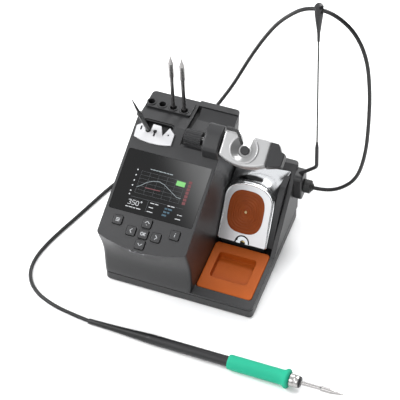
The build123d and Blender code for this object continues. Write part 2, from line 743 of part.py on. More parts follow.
KNOB_X = (-24.0, -6.0)
KNOB_R = 7.0
with BuildPart() as adjust_knob:
    with BuildSketch(Plane.YZ.offset(KNOB_X[0])):
        with Locations((TILT_AXIS_Y, TILT_AXIS_Z)):
            Circle(KNOB_R)
    extrude(amount=KNOB_X[1] - KNOB_X[0])
    chamfer(adjust_knob.edges(), 0.8)
    with BuildSketch(Plane.YZ.offset(KNOB_X[0] - 1)):
        with Locations((TILT_AXIS_Y, TILT_AXIS_Z)):
            with PolarLocations(KNOB_R + 0.15, 20):
                Circle(0.6)
    extrude(amount=KNOB_X[1] - KNOB_X[0] + 2, mode=Mode.SUBTRACT)
    with BuildSketch(Plane.YZ.offset(KNOB_X[0] + 2)):
        with Locations((TILT_AXIS_Y, TILT_AXIS_Z)):
            Circle(SHAFT_R + 0.06)
    extrude(amount=30, mode=Mode.SUBTRACT)
adjust_knob.part.label = "adjust_knob"
export_step(adjust_knob.part, "parts/adjust_knob.step")

with BuildPart() as pivot_shaft:
    with BuildSketch(Plane.YZ.offset(KNOB_X[0] + 2.5)):
        with Locations((TILT_AXIS_Y, TILT_AXIS_Z)):
            Circle(SHAFT_R)
    extrude(amount=SHAFT_END - KNOB_X[0] - 2.5)
pivot_shaft.part.label = "pivot_shaft"
export_step(pivot_shaft.part, "parts/pivot_shaft.step")

HEAD_X = (15.2, 62.4)
HEAD_T = 14.0
BORE_R = 4.4
with BuildPart() as holder_head:
    with BuildSketch(HEAD):
        with BuildLine():
            ThreePointArc((HEAD_X[0], -12.5), (BORE_X, -18.8), (HEAD_X[1], -12.5))
            Polyline((HEAD_X[1], -12.5), (HEAD_X[1], 12), (HEAD_X[0], 12), (HEAD_X[0], -12.5))
        make_face()
    extrude(amount=-HEAD_T)
    fillet(holder_head.edges().filter_by(lambda e: e.length > 12), 2.0)
    with BuildSketch(HEAD.offset(-3)):
        with Locations((BORE_X, BORE_V)):
            Circle(14.3)
    extrude(amount=4.0)
    # Funnel, its inner lip and the tool bore
    with BuildSketch(Plane(origin=HEAD.from_local_coords((BORE_X, BORE_V, 0)), x_dir=(1, 0, 0), z_dir=-HEAD.y_dir)):
        with BuildLine():
            Polyline((0, 1.1), (12.9, 1.1), (11.9, 0), (6.6, -4.5), (6.1, -5.2), (BORE_R, -5.4), (BORE_R, -20), (0, -20), close=True)
        make_face()
    revolve(axis=Axis(HEAD.from_local_coords((BORE_X, BORE_V, 0)), HEAD.z_dir), mode=Mode.SUBTRACT)
    # Slot that lets the tool's cable in from behind
    with BuildSketch(HEAD.offset(3)):
        with BuildLine():
            Polyline((29.5, 14), (46.5, 14), (41.6, 0), (35.0, 0), close=True)
        make_face()
    extrude(amount=-30, mode=Mode.SUBTRACT)
    with BuildSketch(Plane.YZ.offset(HEAD_X[0] - 1)):
        with Locations((TILT_AXIS_Y, TILT_AXIS_Z)):
            Circle(SHAFT_R + 0.02)
    extrude(amount=SHAFT_END + 0.2 - HEAD_X[0] + 1, mode=Mode.SUBTRACT)
holder_head.part.label = "holder_head"
export_step(holder_head.part, "parts/holder_head.step")

with BuildPart() as head_end_cap:
    with BuildSketch(HEAD.offset(-1)):
        with BuildLine():
            Polyline(
                (62.45, 11.5), (69.5, 11.3), (73.5, 4.6), (77.6, 3.4), (77.9, -0.8), (77.3, -9.3),
                (62.45, -13.6), close=True,
            )
        make_face()
    extrude(amount=-12)
    fillet(head_end_cap.edges().filter_by_position(Axis.X, 63.5, 80), 0.9)
head_end_cap.part.label = "head_end_cap"
export_step(head_end_cap.part, "parts/head_end_cap.step")

LEAD_POINTS = [(16.6, 13.9, 1.8), (24.5, 13.6, 3.0), (29.6, 11.6, 3.4), (33.2, 5.0, 2.0)]
with BuildPart() as sensor_lead:
    with BuildLine():
        lead_path = FilletPolyline(*[HEAD.from_local_coords(p) for p in LEAD_POINTS], radius=3.0)
    with BuildSketch(Plane(origin=lead_path @ 0, z_dir=lead_path % 0)):
        Circle(1.5)
    sweep()
sensor_lead.part.label = "sensor_lead"
export_step(sensor_lead.part, "parts/sensor_lead.step")

# ---- Tip cleaner ----
FACE_SIN = math.sin(math.radians(COVER_SLOPE))
FACE_COS = math.cos(math.radians(COVER_SLOPE))
FACE_TOP = (3.5 + 62 * FACE_COS, 18.5 + 62 * FACE_SIN)
COVER_T = 1.6
COVER_X = (15.4, 66.6)

with BuildPart() as cleaner_cover:
    with BuildSketch(Plane.YZ.offset(COVER_X[0])):
        with BuildLine():
            Polyline(
                (1.6, 15.3), (3.5, 18.5), FACE_TOP, (43, 70.8), (58.5, 67.5), (63.4, 61), (63.4, 46), (20, 15.3),
                close=True,
            )
        make_face()
    extrude(amount=COVER_X[1] - COVER_X[0])
    arch = cleaner_cover.faces().filter_by(Axis.X).edges().filter_by_position(Axis.Z, 44, 71)
    arch = arch.filter_by_position(Axis.Y, 17, 60)
    fillet(arch, 4.0)
    with BuildSketch(Plane.YZ.offset(COVER_X[0] + COVER_T)):
        with BuildLine():
            Polyline(
                (3.6, 10), (5.2, 18.0), (FACE_TOP[0] + 1.4, FACE_TOP[1] - 2.6), (43, 68.6), (57.6, 65.6),
                (61.8, 60), (61.8, 10), close=True,
            )
        make_face()
    extrude(amount=COVER_X[1] - COVER_X[0] - 2 * COVER_T, mode=Mode.SUBTRACT)
    # Flange that lies along the well's right rim
    with BuildSketch(Plane.YZ.offset(COVER_X[1] - 0.8)):
        with BuildLine():
            Polyline((6, 22.6), (6, 24.6), (60, 70.8), (60, 68.4), close=True)
        make_face()
    extrude(amount=7.0)
    # Window for the membrane and notch for wiping the tip
    with BuildSketch(FACE.offset(5)):
        with Locations((MEMBRANE_X, MEMBRANE_V)):
            RectangleRounded(34.4, 42.4, 16)
        with Locations((41.0, -2.0)):
            RectangleRounded(13.6, 17, 6)
    extrude(amount=-12, mode=Mode.SUBTRACT)
cleaner_cover.part.label = "cleaner_cover"
export_step(cleaner_cover.part, "parts/cleaner_cover.step")

with BuildPart() as cleaner_membrane:
    with BuildSketch(FACE.offset(0.1)):
        with Locations((MEMBRANE_X, MEMBRANE_V)):
            RectangleRounded(37.2, 45.1, 17.5)
    extrude(amount=1.6)
    with BuildSketch(FACE.offset(-3)):
        with Locations((MEMBRANE_X, MEMBRANE_V)):
            RectangleRounded(33.8, 41.8, 15.7)
    extrude(amount=3.2)
    with BuildSketch(FACE.offset(5)):
        with Locations((MEMBRANE_X, MEMBRANE_V)):
            Circle(1.6)
    extrude(amount=-12, mode=Mode.SUBTRACT)
cleaner_membrane.part.label = "cleaner_membrane"
export_step(cleaner_membrane.part, "parts/cleaner_membrane.step")

with BuildPart() as tip_wiper:
    with BuildSketch(FACE.offset(-3.95)):
        with Locations((41.0, 3.0)):
            RectangleRounded(19, 10, 3)
        with Locations((41.0, -1.0)):
            Circle(2.6, mode=Mode.SUBTRACT)
    extrude(amount=1.5)
tip_wiper.part.label = "tip_wiper"
export_step(tip_wiper.part, "parts/tip_wiper.step")

with BuildPart() as cleaner_container:
    with BuildSketch(Plane.YZ.offset(18.2)):
        with BuildLine():
            Polyline((6.2, 5.5), (60.8, 5.5), (60.8, 59), (42, 59), (11.4, 13.4), (6.2, 13.4), close=True)
        make_face()
    extrude(amount=45.4)
    with BuildSketch(Plane.YZ.offset(19.8)):
        with BuildLine():
            Polyline((7.8, 7.1), (59.2, 7.1), (59.2, 80), (7.8, 80), close=True)
        make_face()
    extrude(amount=42.2, mode=Mode.SUBTRACT)
cleaner_container.part.label = "cleaner_container"
export_step(cleaner_container.part, "parts/cleaner_container.step")

with BuildPart() as brass_wool:
    with BuildSketch(Plane.YZ.offset(20.4)):
        with BuildLine():
            Polyline((9, 7.5), (58, 7.5), (58, 50), (38, 50), (12, 14), (9, 12), close=True)
        make_face()
    extrude(amount=41)
    fillet(brass_wool.edges().filter_by(Axis.X), 1.5)
brass_wool.part.label = "brass_wool"
export_step(brass_wool.part, "parts/brass_wool.step")

# ---- Sponge tray ----
SPONGE_X = (14.9, 72.6)
SPONGE_Y = (-59.6, 0.6)
SPONGE_TOP = 15.0
SPONGE_BOTTOM = WELL_FLOOR + 0.1
POCKET_X = (23.6, 62.0)
POCKET_Y = (-43.5, -11.5)
with BuildPart() as sponge_tray:
    with BuildSketch(Plane.XY.offset(SPONGE_BOTTOM)):
        with Locations((sum(SPONGE_X) / 2, sum(SPONGE_Y) / 2)):
            RectangleRounded(SPONGE_X[1] - SPONGE_X[0], SPONGE_Y[1] - SPONGE_Y[0], 4)
    extrude(amount=SPONGE_TOP - SPONGE_BOTTOM)
    fillet(sponge_tray.faces().sort_by(Axis.Z)[-1].edges(), 1.2)
    with BuildSketch(Plane.XY.offset(SPONGE_BOTTOM + 1.6)):
        with Locations((sum(POCKET_X) / 2, sum(POCKET_Y) / 2)):
            RectangleRounded(POCKET_X[1] - POCKET_X[0], POCKET_Y[1] - POCKET_Y[0], 3.5)
    extrude(amount=20, taper=-3, mode=Mode.SUBTRACT)
sponge_tray.part.label = "sponge_tray"
export_step(sponge_tray.part, "parts/sponge_tray.step")

# ---- Cable collector ----
with BuildPart() as collector_bracket:
    with BuildSketch(Plane.YZ.offset(HALF_W + 0.1)):
        with Locations((COLLECTOR_Y, 58.5)):
            RectangleRounded(18, 33, 5)
    extrude(amount=8.4)
    fillet(collector_bracket.faces().sort_by(Axis.X)[-1].edges(), 1.5)
    with BuildSketch(Plane.YZ.offset(HALF_W)):
        with Locations((COLLECTOR_Y, PLUG_Z)):
            Circle(5.3)
    extrude(amount=10, mode=Mode.SUBTRACT)
collector_bracket.part.label = "collector_bracket"
export_step(collector_bracket.part, "parts/collector_bracket.step")

ARM_POINTS = [(81.3, COLLECTOR_Y, 73.5), (98.5, COLLECTOR_Y, 90.0), (98.25, COLLECTOR_Y, 118.0)]
with BuildPart() as collector_arm:
    with BuildLine():
        arm_path = FilletPolyline(*ARM_POINTS, radius=8.0)
    with BuildSketch(Plane(origin=arm_path @ 0, z_dir=arm_path % 0)):
        Circle(1.85)
    sweep()
    with BuildSketch(Plane(origin=arm_path @ 1, z_dir=arm_path % 1)):
        Circle(1.85)
    extrude(amount=8, taper=6)
collector_arm.part.label = "collector_arm"
export_step(collector_arm.part, "parts/collector_arm.step")

ROD_LOW = Vector(98.2, COLLECTOR_Y, 122.0)
ROD_HIGH = Vector(96.8, COLLECTOR_Y, 263.0)
ROD_DIR = (ROD_HIGH - ROD_LOW).normalized()
ROD_R = 0.75
with BuildPart() as collector_rod:
    with BuildSketch(Plane(origin=ROD_LOW, z_dir=ROD_DIR)):
        Circle(ROD_R)
    extrude(amount=(ROD_HIGH - ROD_LOW).length + 2)
collector_rod.part.label = "collector_rod"
export_step(collector_rod.part, "parts/collector_rod.step")

CLIP_H = 34.5
CLIP_SECTION = Plane(origin=ROD_HIGH, x_dir=Vector(0, 1, 0).cross(ROD_DIR), z_dir=(0, -1, 0))
with BuildPart() as collector_clip:
    with BuildSketch(CLIP_SECTION):
        with BuildLine():
            Polyline((0, 0), (1.3, 0), (1.5, 10), (4.1, CLIP_H), (0, CLIP_H), close=True)
        make_face()
    revolve(axis=Axis(ROD_HIGH, ROD_DIR))
collector_clip.part.label = "collector_clip"
export_step(collector_clip.part, "parts/collector_clip.step")

CLIP_CABLE = Vector(96.6, COLLECTOR_Y, 302.4)
with BuildPart() as collector_cap:
    with BuildSketch(CLIP_SECTION):
        with BuildLine():
            Polyline((0, CLIP_H), (4.1, CLIP_H), (4.2, 43), (2.8, 45.2), (0, 45.8), close=True)
        make_face()
    revolve(axis=Axis(ROD_HIGH, ROD_DIR))
    with BuildSketch(Plane(origin=CLIP_CABLE - Vector(8, 0, 0), z_dir=(1, 0, 0))):
        Circle(3.2)
    extrude(amount=16, mode=Mode.SUBTRACT)
collector_cap.part.label = "collector_cap"
export_step(collector_cap.part, "parts/collector_cap.step")

# ---- Tool plug and cable ----
PLUG_END = 96.0
PLUG_SECTION = Plane(origin=(0, COLLECTOR_Y, PLUG_Z), x_dir=(1, 0, 0), z_dir=(0, -1, 0))
with BuildPart() as tool_plug:
    with BuildSketch(PLUG_SECTION):
        with BuildLine():
            Polyline(
                (72.0, 0), (72.0, 3.0), (77.7, 3.0), (77.7, 5.0), (94.0, 5.0), (PLUG_END, 2.6), (PLUG_END, 0),
                close=True,
            )
        make_face()
    revolve(axis=Axis(PLUG_SECTION.origin, (1, 0, 0)))
tool_plug.part.label = "tool_plug"
export_step(tool_plug.part, "parts/tool_plug.step")

with BuildPart() as plug_ring:
    with BuildSketch(Plane.YZ.offset(86.2)):
        with Locations((COLLECTOR_Y, PLUG_Z)):
            Circle(6.8)
    extrude(amount=7.3)
    chamfer(plug_ring.edges(), 0.6)
    with BuildSketch(Plane.YZ.offset(86)):
        with Locations((COLLECTOR_Y, PLUG_Z)):
            Circle(5.06)
            with PolarLocations(7.05, 24):
                Circle(0.5)
    extrude(amount=8, mode=Mode.SUBTRACT)
plug_ring.part.label = "plug_ring"
export_step(plug_ring.part, "parts/plug_ring.step")

# Route of the tool cable: out of the plug, round through the collector's cap, down behind the
# casing, along the table on its left and into the handpiece.
CABLE_ROUTE = [
    (96.0, 64.0, 57.0), (108.0, 64.0, 57.6), (124.5, 64.0, 67.0), (140.0, 64.0, 88.0), (147.0, 64.0, 126.0),
    (148.3, 64.0, 170.0), (147.5, 64.0, 214.0), (143.0, 64.0, 255.0), (131.0, 64.0, 284.0),
    (113.5, 64.0, 299.5), (97.0, 64.0, 303.5), (81.0, 66.5, 296.5), (66.0, 73.0, 278.0),
    (50.8, 81.0, 254.5), (33.5, 89.5, 219.5), (16.0, 97.0, 179.0), (0.0, 102.5, 138.5),
    (-14.0, 106.5, 108.0), (-33.0, 109.0, 70.0), (-55.0, 108.0, 33.0), (-76.0, 100.0, 9.0),
    (-93.0, 86.0, 2.0), (-104.5, 69.0, 2.0), (-112.8, 53.0, 2.0), (-121.0, 34.0, 2.0), (-133.5, -2.0, 2.0),
    (-149.5, -45.0, 2.0), (-155.3, -73.0, 2.0), (-151.0, -94.5, 2.0), (-137.0, -110.0, 2.0),
    (-116.5, -118.7, 2.0), (-94.0, -123.2, 2.0), (-72.1, -126.2, 3.0),
]


def route_radii(points):
    """Radius of each corner: 0.45 of the shorter run over the tangent of half the turn."""
    radii = []
    for before, corner, after in zip(points, points[1:], points[2:]):
        first = Vector(corner) - Vector(before)
        second = Vector(after) - Vector(corner)
        turn = math.radians(first.get_angle(second))
        radii.append(0.45 * min(first.length, second.length) / math.tan(turn / 2))
    return radii


CABLE_RADII = route_radii(CABLE_ROUTE)
with BuildPart() as tool_cable:
    with BuildLine():
        cable_path = FilletPolyline(*CABLE_ROUTE, radius=CABLE_RADII)
    with BuildSketch(Plane(origin=cable_path @ 0, z_dir=cable_path % 0)):
        Circle(CABLE_D / 2)
    sweep()
tool_cable.part.label = "tool_cable"
export_step(tool_cable.part, "parts/tool_cable.step")
print("cable radii", [round(r) for r in CABLE_RADII])
print("cable length", round(cable_path.length, 1), "volume", round(tool_cable.part.volume))
print("section times length", round(cable_path.length * math.pi * CABLE_D**2 / 4))

# ---- Handpiece: outlines run along its axis from the strain relief to the tip ----
BODY_S = 62.5
GRIP_S = 147.0
FERRULE_S = 209.3
BORE_S = 140.0
CORE_R = 4.6
CARTRIDGE_R = 1.9
HANDPIECE = {
    "strain_relief": [(0, 0), (0, 2.4), (BODY_S - 2, 4.2), (BODY_S, 4.4), (BODY_S, 0)],
    "handle_body": [
        (BODY_S + 0.05, 0), (BODY_S + 0.05, 4.7), (BODY_S + 3, 5.0), (GRIP_S - 0.1, 5.3), (GRIP_S - 0.1, CORE_R),
        (FERRULE_S - 0.1, CORE_R), (FERRULE_S - 0.1, 2.2), (BORE_S, 2.2), (BORE_S, 0),
    ],
    "handle_grip": [
        (GRIP_S, CORE_R + 0.05), (GRIP_S, 6.4), (GRIP_S + 3, 7.4), (198, 7.5), (203, 9.0), (205.5, 9.75),
        (208, 9.4), (209.2, 8.0), (209.2, CORE_R + 0.05),
    ],
    "handle_ferrule": [
        (FERRULE_S, 2.2), (FERRULE_S, 6.0), (211, 6.3), (216.5, 6.3), (217, 5.4), (220, 4.6), (220, 2.2),
    ],
    "tip_cartridge": [
        (BORE_S + 0.3, 0), (BORE_S + 0.3, CARTRIDGE_R), (239.5, CARTRIDGE_R), (240.5, 2.6), (250, 2.6),
        (254, 2.0), (262.8, 0.5), (262.8, 0),
    ],
}
for piece_name, outline in HANDPIECE.items():
    with BuildPart() as piece:
        with BuildSketch(HAND):
            with BuildLine():
                Polyline(*outline, close=True)
            make_face()
        revolve(axis=HAND_AXIS)
    piece.part.label = piece_name
    export_step(piece.part, f"parts/{piece_name}.step")
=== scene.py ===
"""Looks of the soldering station: camera, cable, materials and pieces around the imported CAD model."""
import json
import math

import bpy
from mathutils import Matrix, Vector


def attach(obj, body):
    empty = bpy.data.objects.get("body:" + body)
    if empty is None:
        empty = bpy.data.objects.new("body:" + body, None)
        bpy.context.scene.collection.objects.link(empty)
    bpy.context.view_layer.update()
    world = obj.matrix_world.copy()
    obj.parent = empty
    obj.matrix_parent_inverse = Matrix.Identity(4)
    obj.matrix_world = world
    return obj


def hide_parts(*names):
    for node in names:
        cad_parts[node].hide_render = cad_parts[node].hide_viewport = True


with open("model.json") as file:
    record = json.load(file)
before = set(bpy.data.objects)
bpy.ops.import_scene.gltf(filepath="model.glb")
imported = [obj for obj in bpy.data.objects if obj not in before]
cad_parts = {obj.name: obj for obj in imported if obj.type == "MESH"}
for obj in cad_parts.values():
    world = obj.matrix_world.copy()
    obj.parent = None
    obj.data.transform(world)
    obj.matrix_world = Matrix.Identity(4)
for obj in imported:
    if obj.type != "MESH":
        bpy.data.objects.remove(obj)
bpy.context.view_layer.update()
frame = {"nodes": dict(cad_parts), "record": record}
NODES = frame["nodes"]
MM = 0.001

# ---- Camera ----
CAMERA_PLACE = Vector((414.547, -986.361, 1355.755)) * MM
CAMERA_TARGET = Vector((-0.586, 0.0, 73.009)) * MM
CAMERA_ROLL = math.radians(-2.961)
LENS = 153.0


def make_camera():
    """The camera of the main view: long lens, from the front right, 50 degrees above the table."""
    data = bpy.data.cameras.new("main_camera")
    data.lens = LENS
    data.sensor_width = 36.0
    data.clip_start = 0.05
    data.clip_end = 50.0
    camera = bpy.data.objects.new("main_camera", data)
    bpy.context.scene.collection.objects.link(camera)
    aim = (CAMERA_TARGET - CAMERA_PLACE).to_track_quat("-Z", "Y")
    roll = Matrix.Rotation(CAMERA_ROLL, 4, "Z")
    camera.matrix_world = Matrix.Translation(CAMERA_PLACE) @ aim.to_matrix().to_4x4() @ roll
    bpy.context.scene.camera = camera


# ---- Places shared with the CAD model, in millimetres ----
TILT = math.radians(22.2)
LIP = Vector((0, -77.4, 83.7))
PANEL_X = Vector((1, 0, 0))
PANEL_U = Vector((0, math.cos(TILT), math.sin(TILT)))
PANEL_N = Vector((0, -math.sin(TILT), math.cos(TILT)))
SLOPE = math.radians(56.0)
FACE = Vector((0, 3.5, 18.5))
FACE_V = Vector((0, math.cos(SLOPE), math.sin(SLOPE)))
FACE_N = Vector((0, -math.sin(SLOPE), math.cos(SLOPE)))
HAND_TAIL = Vector((-72.1, -126.2, 3.0))
HAND_DIR = (Vector((190.5, -131.6, 11.5)) - HAND_TAIL).normalized()
HEAD_TILT = math.radians(30.0)
HEAD = Vector((0, 24, 140))
HEAD_V = Vector((0, math.cos(HEAD_TILT), math.sin(HEAD_TILT)))
HEAD_N = Vector((0, -math.sin(HEAD_TILT), math.cos(HEAD_TILT)))


def on_panel(x, u, n):
    """Point on the control panel, n above its surface."""
    return LIP + PANEL_X * x + PANEL_U * u + PANEL_N * n


def on_face(x, v, n):
    """Point on the face of the tip cleaner's cover, n above it."""
    return FACE + PANEL_X * x + FACE_V * v + FACE_N * n


def on_head(x, v, n):
    """Point on the face of the tool holder's head, n above it."""
    return HEAD + PANEL_X * x + HEAD_V * v + HEAD_N * n


# ---- Materials ----
ROUGHNESS_SPREAD = 0.06
SMOOTHEST = 0.02
GRAIN_HEIGHT = 0.1 * MM
BEVEL_SAMPLES = 6


def material(name, color, rough=0.5, metal=0.0, tint=0.08, tint_scale=60.0, grain=0.15,
             grain_scale=2500.0, bevel=0.0, specular=0.5):
    """Procedural finish: colour and roughness vary with noise, a fine grain, and rounded-looking edges."""
    made = bpy.data.materials.new(name)
    made.use_nodes = True
    nodes, links = made.node_tree.nodes, made.node_tree.links
    shader = nodes["Principled BSDF"]
    place = nodes.new("ShaderNodeTexCoord")
    drift = nodes.new("ShaderNodeTexNoise")
    drift.inputs["Scale"].default_value = tint_scale
    drift.inputs["Detail"].default_value = 4.0
    links.new(place.outputs["Object"], drift.inputs["Vector"])
    mix = nodes.new("ShaderNodeMix")
    mix.data_type = "RGBA"
    mix.inputs["A"].default_value = (*[c * (1 - tint) for c in color], 1)
    mix.inputs["B"].default_value = (*[min(1.0, c * (1 + tint)) for c in color], 1)
    links.new(drift.outputs["Fac"], mix.inputs["Factor"])
    links.new(mix.outputs["Result"], shader.inputs["Base Color"])
    fine = nodes.new("ShaderNodeTexNoise")
    fine.inputs["Scale"].default_value = grain_scale
    fine.inputs["Detail"].default_value = 3.0
    links.new(place.outputs["Object"], fine.inputs["Vector"])
    span = nodes.new("ShaderNodeMapRange")
    span.inputs["To Min"].default_value = max(SMOOTHEST, rough - ROUGHNESS_SPREAD)
    span.inputs["To Max"].default_value = min(1.0, rough + ROUGHNESS_SPREAD)
    links.new(fine.outputs["Fac"], span.inputs["Value"])
    links.new(span.outputs["Result"], shader.inputs["Roughness"])
    bump = nodes.new("ShaderNodeBump")
    bump.inputs["Strength"].default_value = grain
    bump.inputs["Distance"].default_value = GRAIN_HEIGHT
    links.new(fine.outputs["Fac"], bump.inputs["Height"])
    if bevel:
        edge = nodes.new("ShaderNodeBevel")
        edge.samples = BEVEL_SAMPLES
        edge.inputs["Radius"].default_value = bevel * MM
        links.new(edge.outputs["Normal"], bump.inputs["Normal"])
    links.new(bump.outputs["Normal"], shader.inputs["Normal"])
    shader.inputs["Metallic"].default_value = metal
    shader.inputs["Specular IOR Level"].default_value = specular
    return made


def glow(name, color, strength):
    """A lit mark on the screen, with a slight unevenness."""
    made = material(name, color, rough=0.4, tint=0.05, grain=0.0)
    shader = made.node_tree.nodes["Principled BSDF"]
    shader.inputs["Emission Color"].default_value = (*color, 1)
    shader.inputs["Emission Strength"].default_value = strength
    return made


MATERIALS = {
    "casing": material("casing_plastic", (0.019, 0.019, 0.02), rough=0.4, grain=0.3, bevel=0.7,
                       specular=0.4),
    "feet": material("foot_rubber", (0.02, 0.02, 0.02), rough=0.8),
    "screw_steel": material("screw_steel", (0.55, 0.55, 0.56), rough=0.3, metal=1.0, bevel=0.15),
    "screen": material("screen_glass", (0.008, 0.008, 0.009), rough=0.12, grain=0.0, tint=0.3,
                       tint_scale=15, specular=0.3),
    "electronics": material("display_parts", (0.1, 0.1, 0.1), rough=0.5),
    "board": material("circuit_board", (0.02, 0.16, 0.06), rough=0.35, tint=0.3, tint_scale=400),
    "spacer": material("spacer_brass", (0.7, 0.55, 0.3), rough=0.3, metal=1.0),
    "key_plastic": material("key_plastic", (0.018, 0.018, 0.019), rough=0.4, grain=0.25, bevel=0.5,
                            specular=0.4),
    "winding": material("transformer_tape", (0.6, 0.4, 0.08), rough=0.35, tint=0.3, tint_scale=120),
    "rear_plate": material("rear_plate_paint", (0.045, 0.045, 0.048), rough=0.5, grain=0.5, bevel=0.4),
    "inlet_plastic": material("inlet_plastic", (0.015, 0.015, 0.015), rough=0.35, bevel=0.4),
    "rocker_plastic": material("rocker_plastic", (0.02, 0.02, 0.02), rough=0.25, bevel=0.6),
    "pin_brass": material("plated_brass", (0.75, 0.62, 0.34), rough=0.22, metal=1.0, bevel=0.2),
    "port_metal": material("port_metal", (0.4, 0.4, 0.42), rough=0.3, metal=1.0),
    "cartridge_steel": material("cartridge_steel", (0.34, 0.33, 0.325), rough=0.26, metal=1.0, tint=0.15,
                                tint_scale=150, grain=0.1),
    "dark_cartridge": material("dark_cartridge", (0.045, 0.045, 0.045), rough=0.35, metal=0.3, tint=0.3),
    "extractor_steel": material("extractor_steel", (0.52, 0.52, 0.53), rough=0.4, metal=0.35, bevel=0.3),
    "dark_plastic": material("dark_plastic", (0.014, 0.014, 0.015), rough=0.42, grain=0.3, bevel=0.5,
                             specular=0.35),
    "shaft_steel": material("shaft_steel", (0.5, 0.5, 0.5), rough=0.25, metal=1.0),
    "cast_head": material("cast_head", (0.36, 0.36, 0.36), rough=0.34, metal=0.55, grain=0.5,
                          grain_scale=1500, tint=0.06, bevel=0.9),
    "lead_rubber": material("lead_rubber", (0.02, 0.02, 0.02), rough=0.5),
    "mirror_chrome": material("mirror_chrome", (0.8, 0.81, 0.82), rough=0.16, metal=1.0, tint=0.02,
                              grain=0.0),
    "membrane_rubber": material("membrane_silicone", (0.27, 0.052, 0.006), rough=0.5, specular=0.2,
                                grain=0.3, tint=0.2, tint_scale=90),
    "wiper_metal": material("wiper_metal", (0.8, 0.83, 0.84), rough=0.15, metal=1.0, bevel=0.3),
    "container_plastic": material("container_plastic", (0.03, 0.03, 0.03), rough=0.5, bevel=0.4),
    "wool_brass": material("brass_wool", (0.8, 0.55, 0.2), rough=0.3, metal=1.0, tint=0.4, tint_scale=500,
                           grain=1.0, grain_scale=900),
    "tray_silicone": material("tray_silicone", (0.4, 0.082, 0.008), rough=0.55, specular=0.2, grain=0.3,
                              tint=0.12, bevel=1.0),
    "plug_plastic": material("plug_plastic", (0.016, 0.016, 0.016), rough=0.45, bevel=0.3, specular=0.35),
    "cable_jacket": material("cable_jacket", (0.012, 0.012, 0.012), rough=0.4, grain=0.2, specular=0.3),
    "handle_plastic": material("handle_plastic", (0.012, 0.012, 0.013), rough=0.35, grain=0.2, bevel=0.4,
                               specular=0.35),
    "grip_foam": material("grip_foam", (0.014, 0.34, 0.205), rough=0.6, grain=0.5, tint=0.06, specular=0.2),
    "ferrule_metal": material("ferrule_metal", (0.42, 0.41, 0.4), rough=0.28, metal=1.0, bevel=0.3),
}


def add_painted_glass_reflection(glass):
    """Painted reflection on the glass: its base colour turns from near black to grey towards its upper right
    corner.
    """
    nodes, links = glass.node_tree.nodes, glass.node_tree.links
    place = nodes.new("ShaderNodeTexCoord")
    along = nodes.new("ShaderNodeVectorMath")
    along.operation = "DOT_PRODUCT"
    along.inputs[1].default_value = (0.8, 0.56, 0.22)
    links.new(place.outputs["Object"], along.inputs[0])
    fade = nodes.new("ShaderNodeMapRange")
    fade.interpolation_type = "SMOOTHERSTEP"
    fade.inputs["From Min"].default_value = -0.02
    fade.inputs["From Max"].default_value = 0.06
    fade.inputs["To Min"].default_value = 0.003
    fade.inputs["To Max"].default_value = 0.14
    links.new(along.outputs["Value"], fade.inputs["Value"])
    links.new(fade.outputs["Result"], nodes["Principled BSDF"].inputs["Base Color"])


add_painted_glass_reflection(MATERIALS["screen"])
MARK_PALE = glow("mark_pale", (0.4, 0.41, 0.42), 0.06)
MARK_CURVE = glow("mark_curve", (0.2, 0.23, 0.24), 0.08)
MARK_DIM = glow("mark_dim", (0.045, 0.05, 0.055), 0.02)
MARK_RED = glow("mark_red", (0.1, 0.016, 0.02), 0.05)
MARK_GREEN = glow("mark_green", (0.12, 0.36, 0.1), 0.2)
MARK_BLUE = glow("mark_blue", (0.02, 0.06, 0.09), 0.05)
BRIGHT_FACE = material("brushed_chrome", (0.78, 0.78, 0.79), rough=0.32, metal=0.75, tint=0.02, grain=0.0)
# Near-black finish for the dark bead round the wiping notch and for the painted shade strip on the deck.
DARK_TRIM_AND_PAINTED_SHADE = material("dark_trim_and_painted_shade", (0.004, 0.004, 0.004), rough=0.8, grain=0.0)


def dress_cad_nodes():
    """Gives every CAD node the finish of its material slot, and smooth shading on its round faces."""
    for part in frame["record"]["subparts"]:
        node = NODES[part["node"]]
        node.data.materials.clear()
        node.data.materials.append(MATERIALS[part["material_slot"]])
        if not node.data.has_custom_normals:
            node.data.polygons.foreach_set("use_smooth", [True] * len(node.data.polygons))
            node.data.set_sharp_from_angle(angle=math.radians(32))


# ---- Mesh helpers ----
def piece(name, points, faces, finish, body, smooth=True, angle=35.0):
    """A mesh piece in millimetres that rides on a CAD body."""
    mesh = bpy.data.meshes.new(name)
    mesh.from_pydata([Vector(p) * MM for p in points], [], faces)
    mesh.update()
    mesh.materials.append(finish)
    if smooth:
        mesh.polygons.foreach_set("use_smooth", [True] * len(mesh.polygons))
        mesh.set_sharp_from_angle(angle=math.radians(angle))
    made = bpy.data.objects.new(name, mesh)
    bpy.context.scene.collection.objects.link(made)
    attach(made, body)
    return made


def grid_faces(rows, columns, closed):
    """Quads between rows of points; closed joins each row's last point to its first."""
    faces = []
    for r in range(rows - 1):
        for c in range(columns if closed else columns - 1):
            d = (c + 1) % columns
            faces.append((r * columns + c, r * columns + d, (r + 1) * columns + d, (r + 1) * columns + c))
    return faces


def circle(centre, side, other, radius, steps):
    """Points round a centre, in the plane of two unit vectors."""
    spots = []
    for k in range(steps):
        turn = 2 * math.pi * k / steps
        spots.append(centre + (side * math.cos(turn) + other * math.sin(turn)) * radius)
    return spots


def capped_faces(rows, steps):
    """Quads round a tube of rows of points, with a cap at each end."""
    faces = grid_faces(rows, steps, True)
    faces.append(tuple(range(steps - 1, -1, -1)))
    faces.append(tuple(range((rows - 1) * steps, rows * steps)))
    return faces


def turned(name, profile, origin, axis, finish, body, steps=48, angle=35.0):
    """A turned piece: (distance along the axis, radius) pairs swept round the axis, closed at both ends."""
    axis = Vector(axis).normalized()
    side = axis.orthogonal().normalized()
    other = axis.cross(side)
    points = []
    for along, radius in profile:
        points += circle(origin + axis * along, side, other, radius, steps)
    return piece(name, points, capped_faces(len(profile), steps), finish, body, angle=angle)


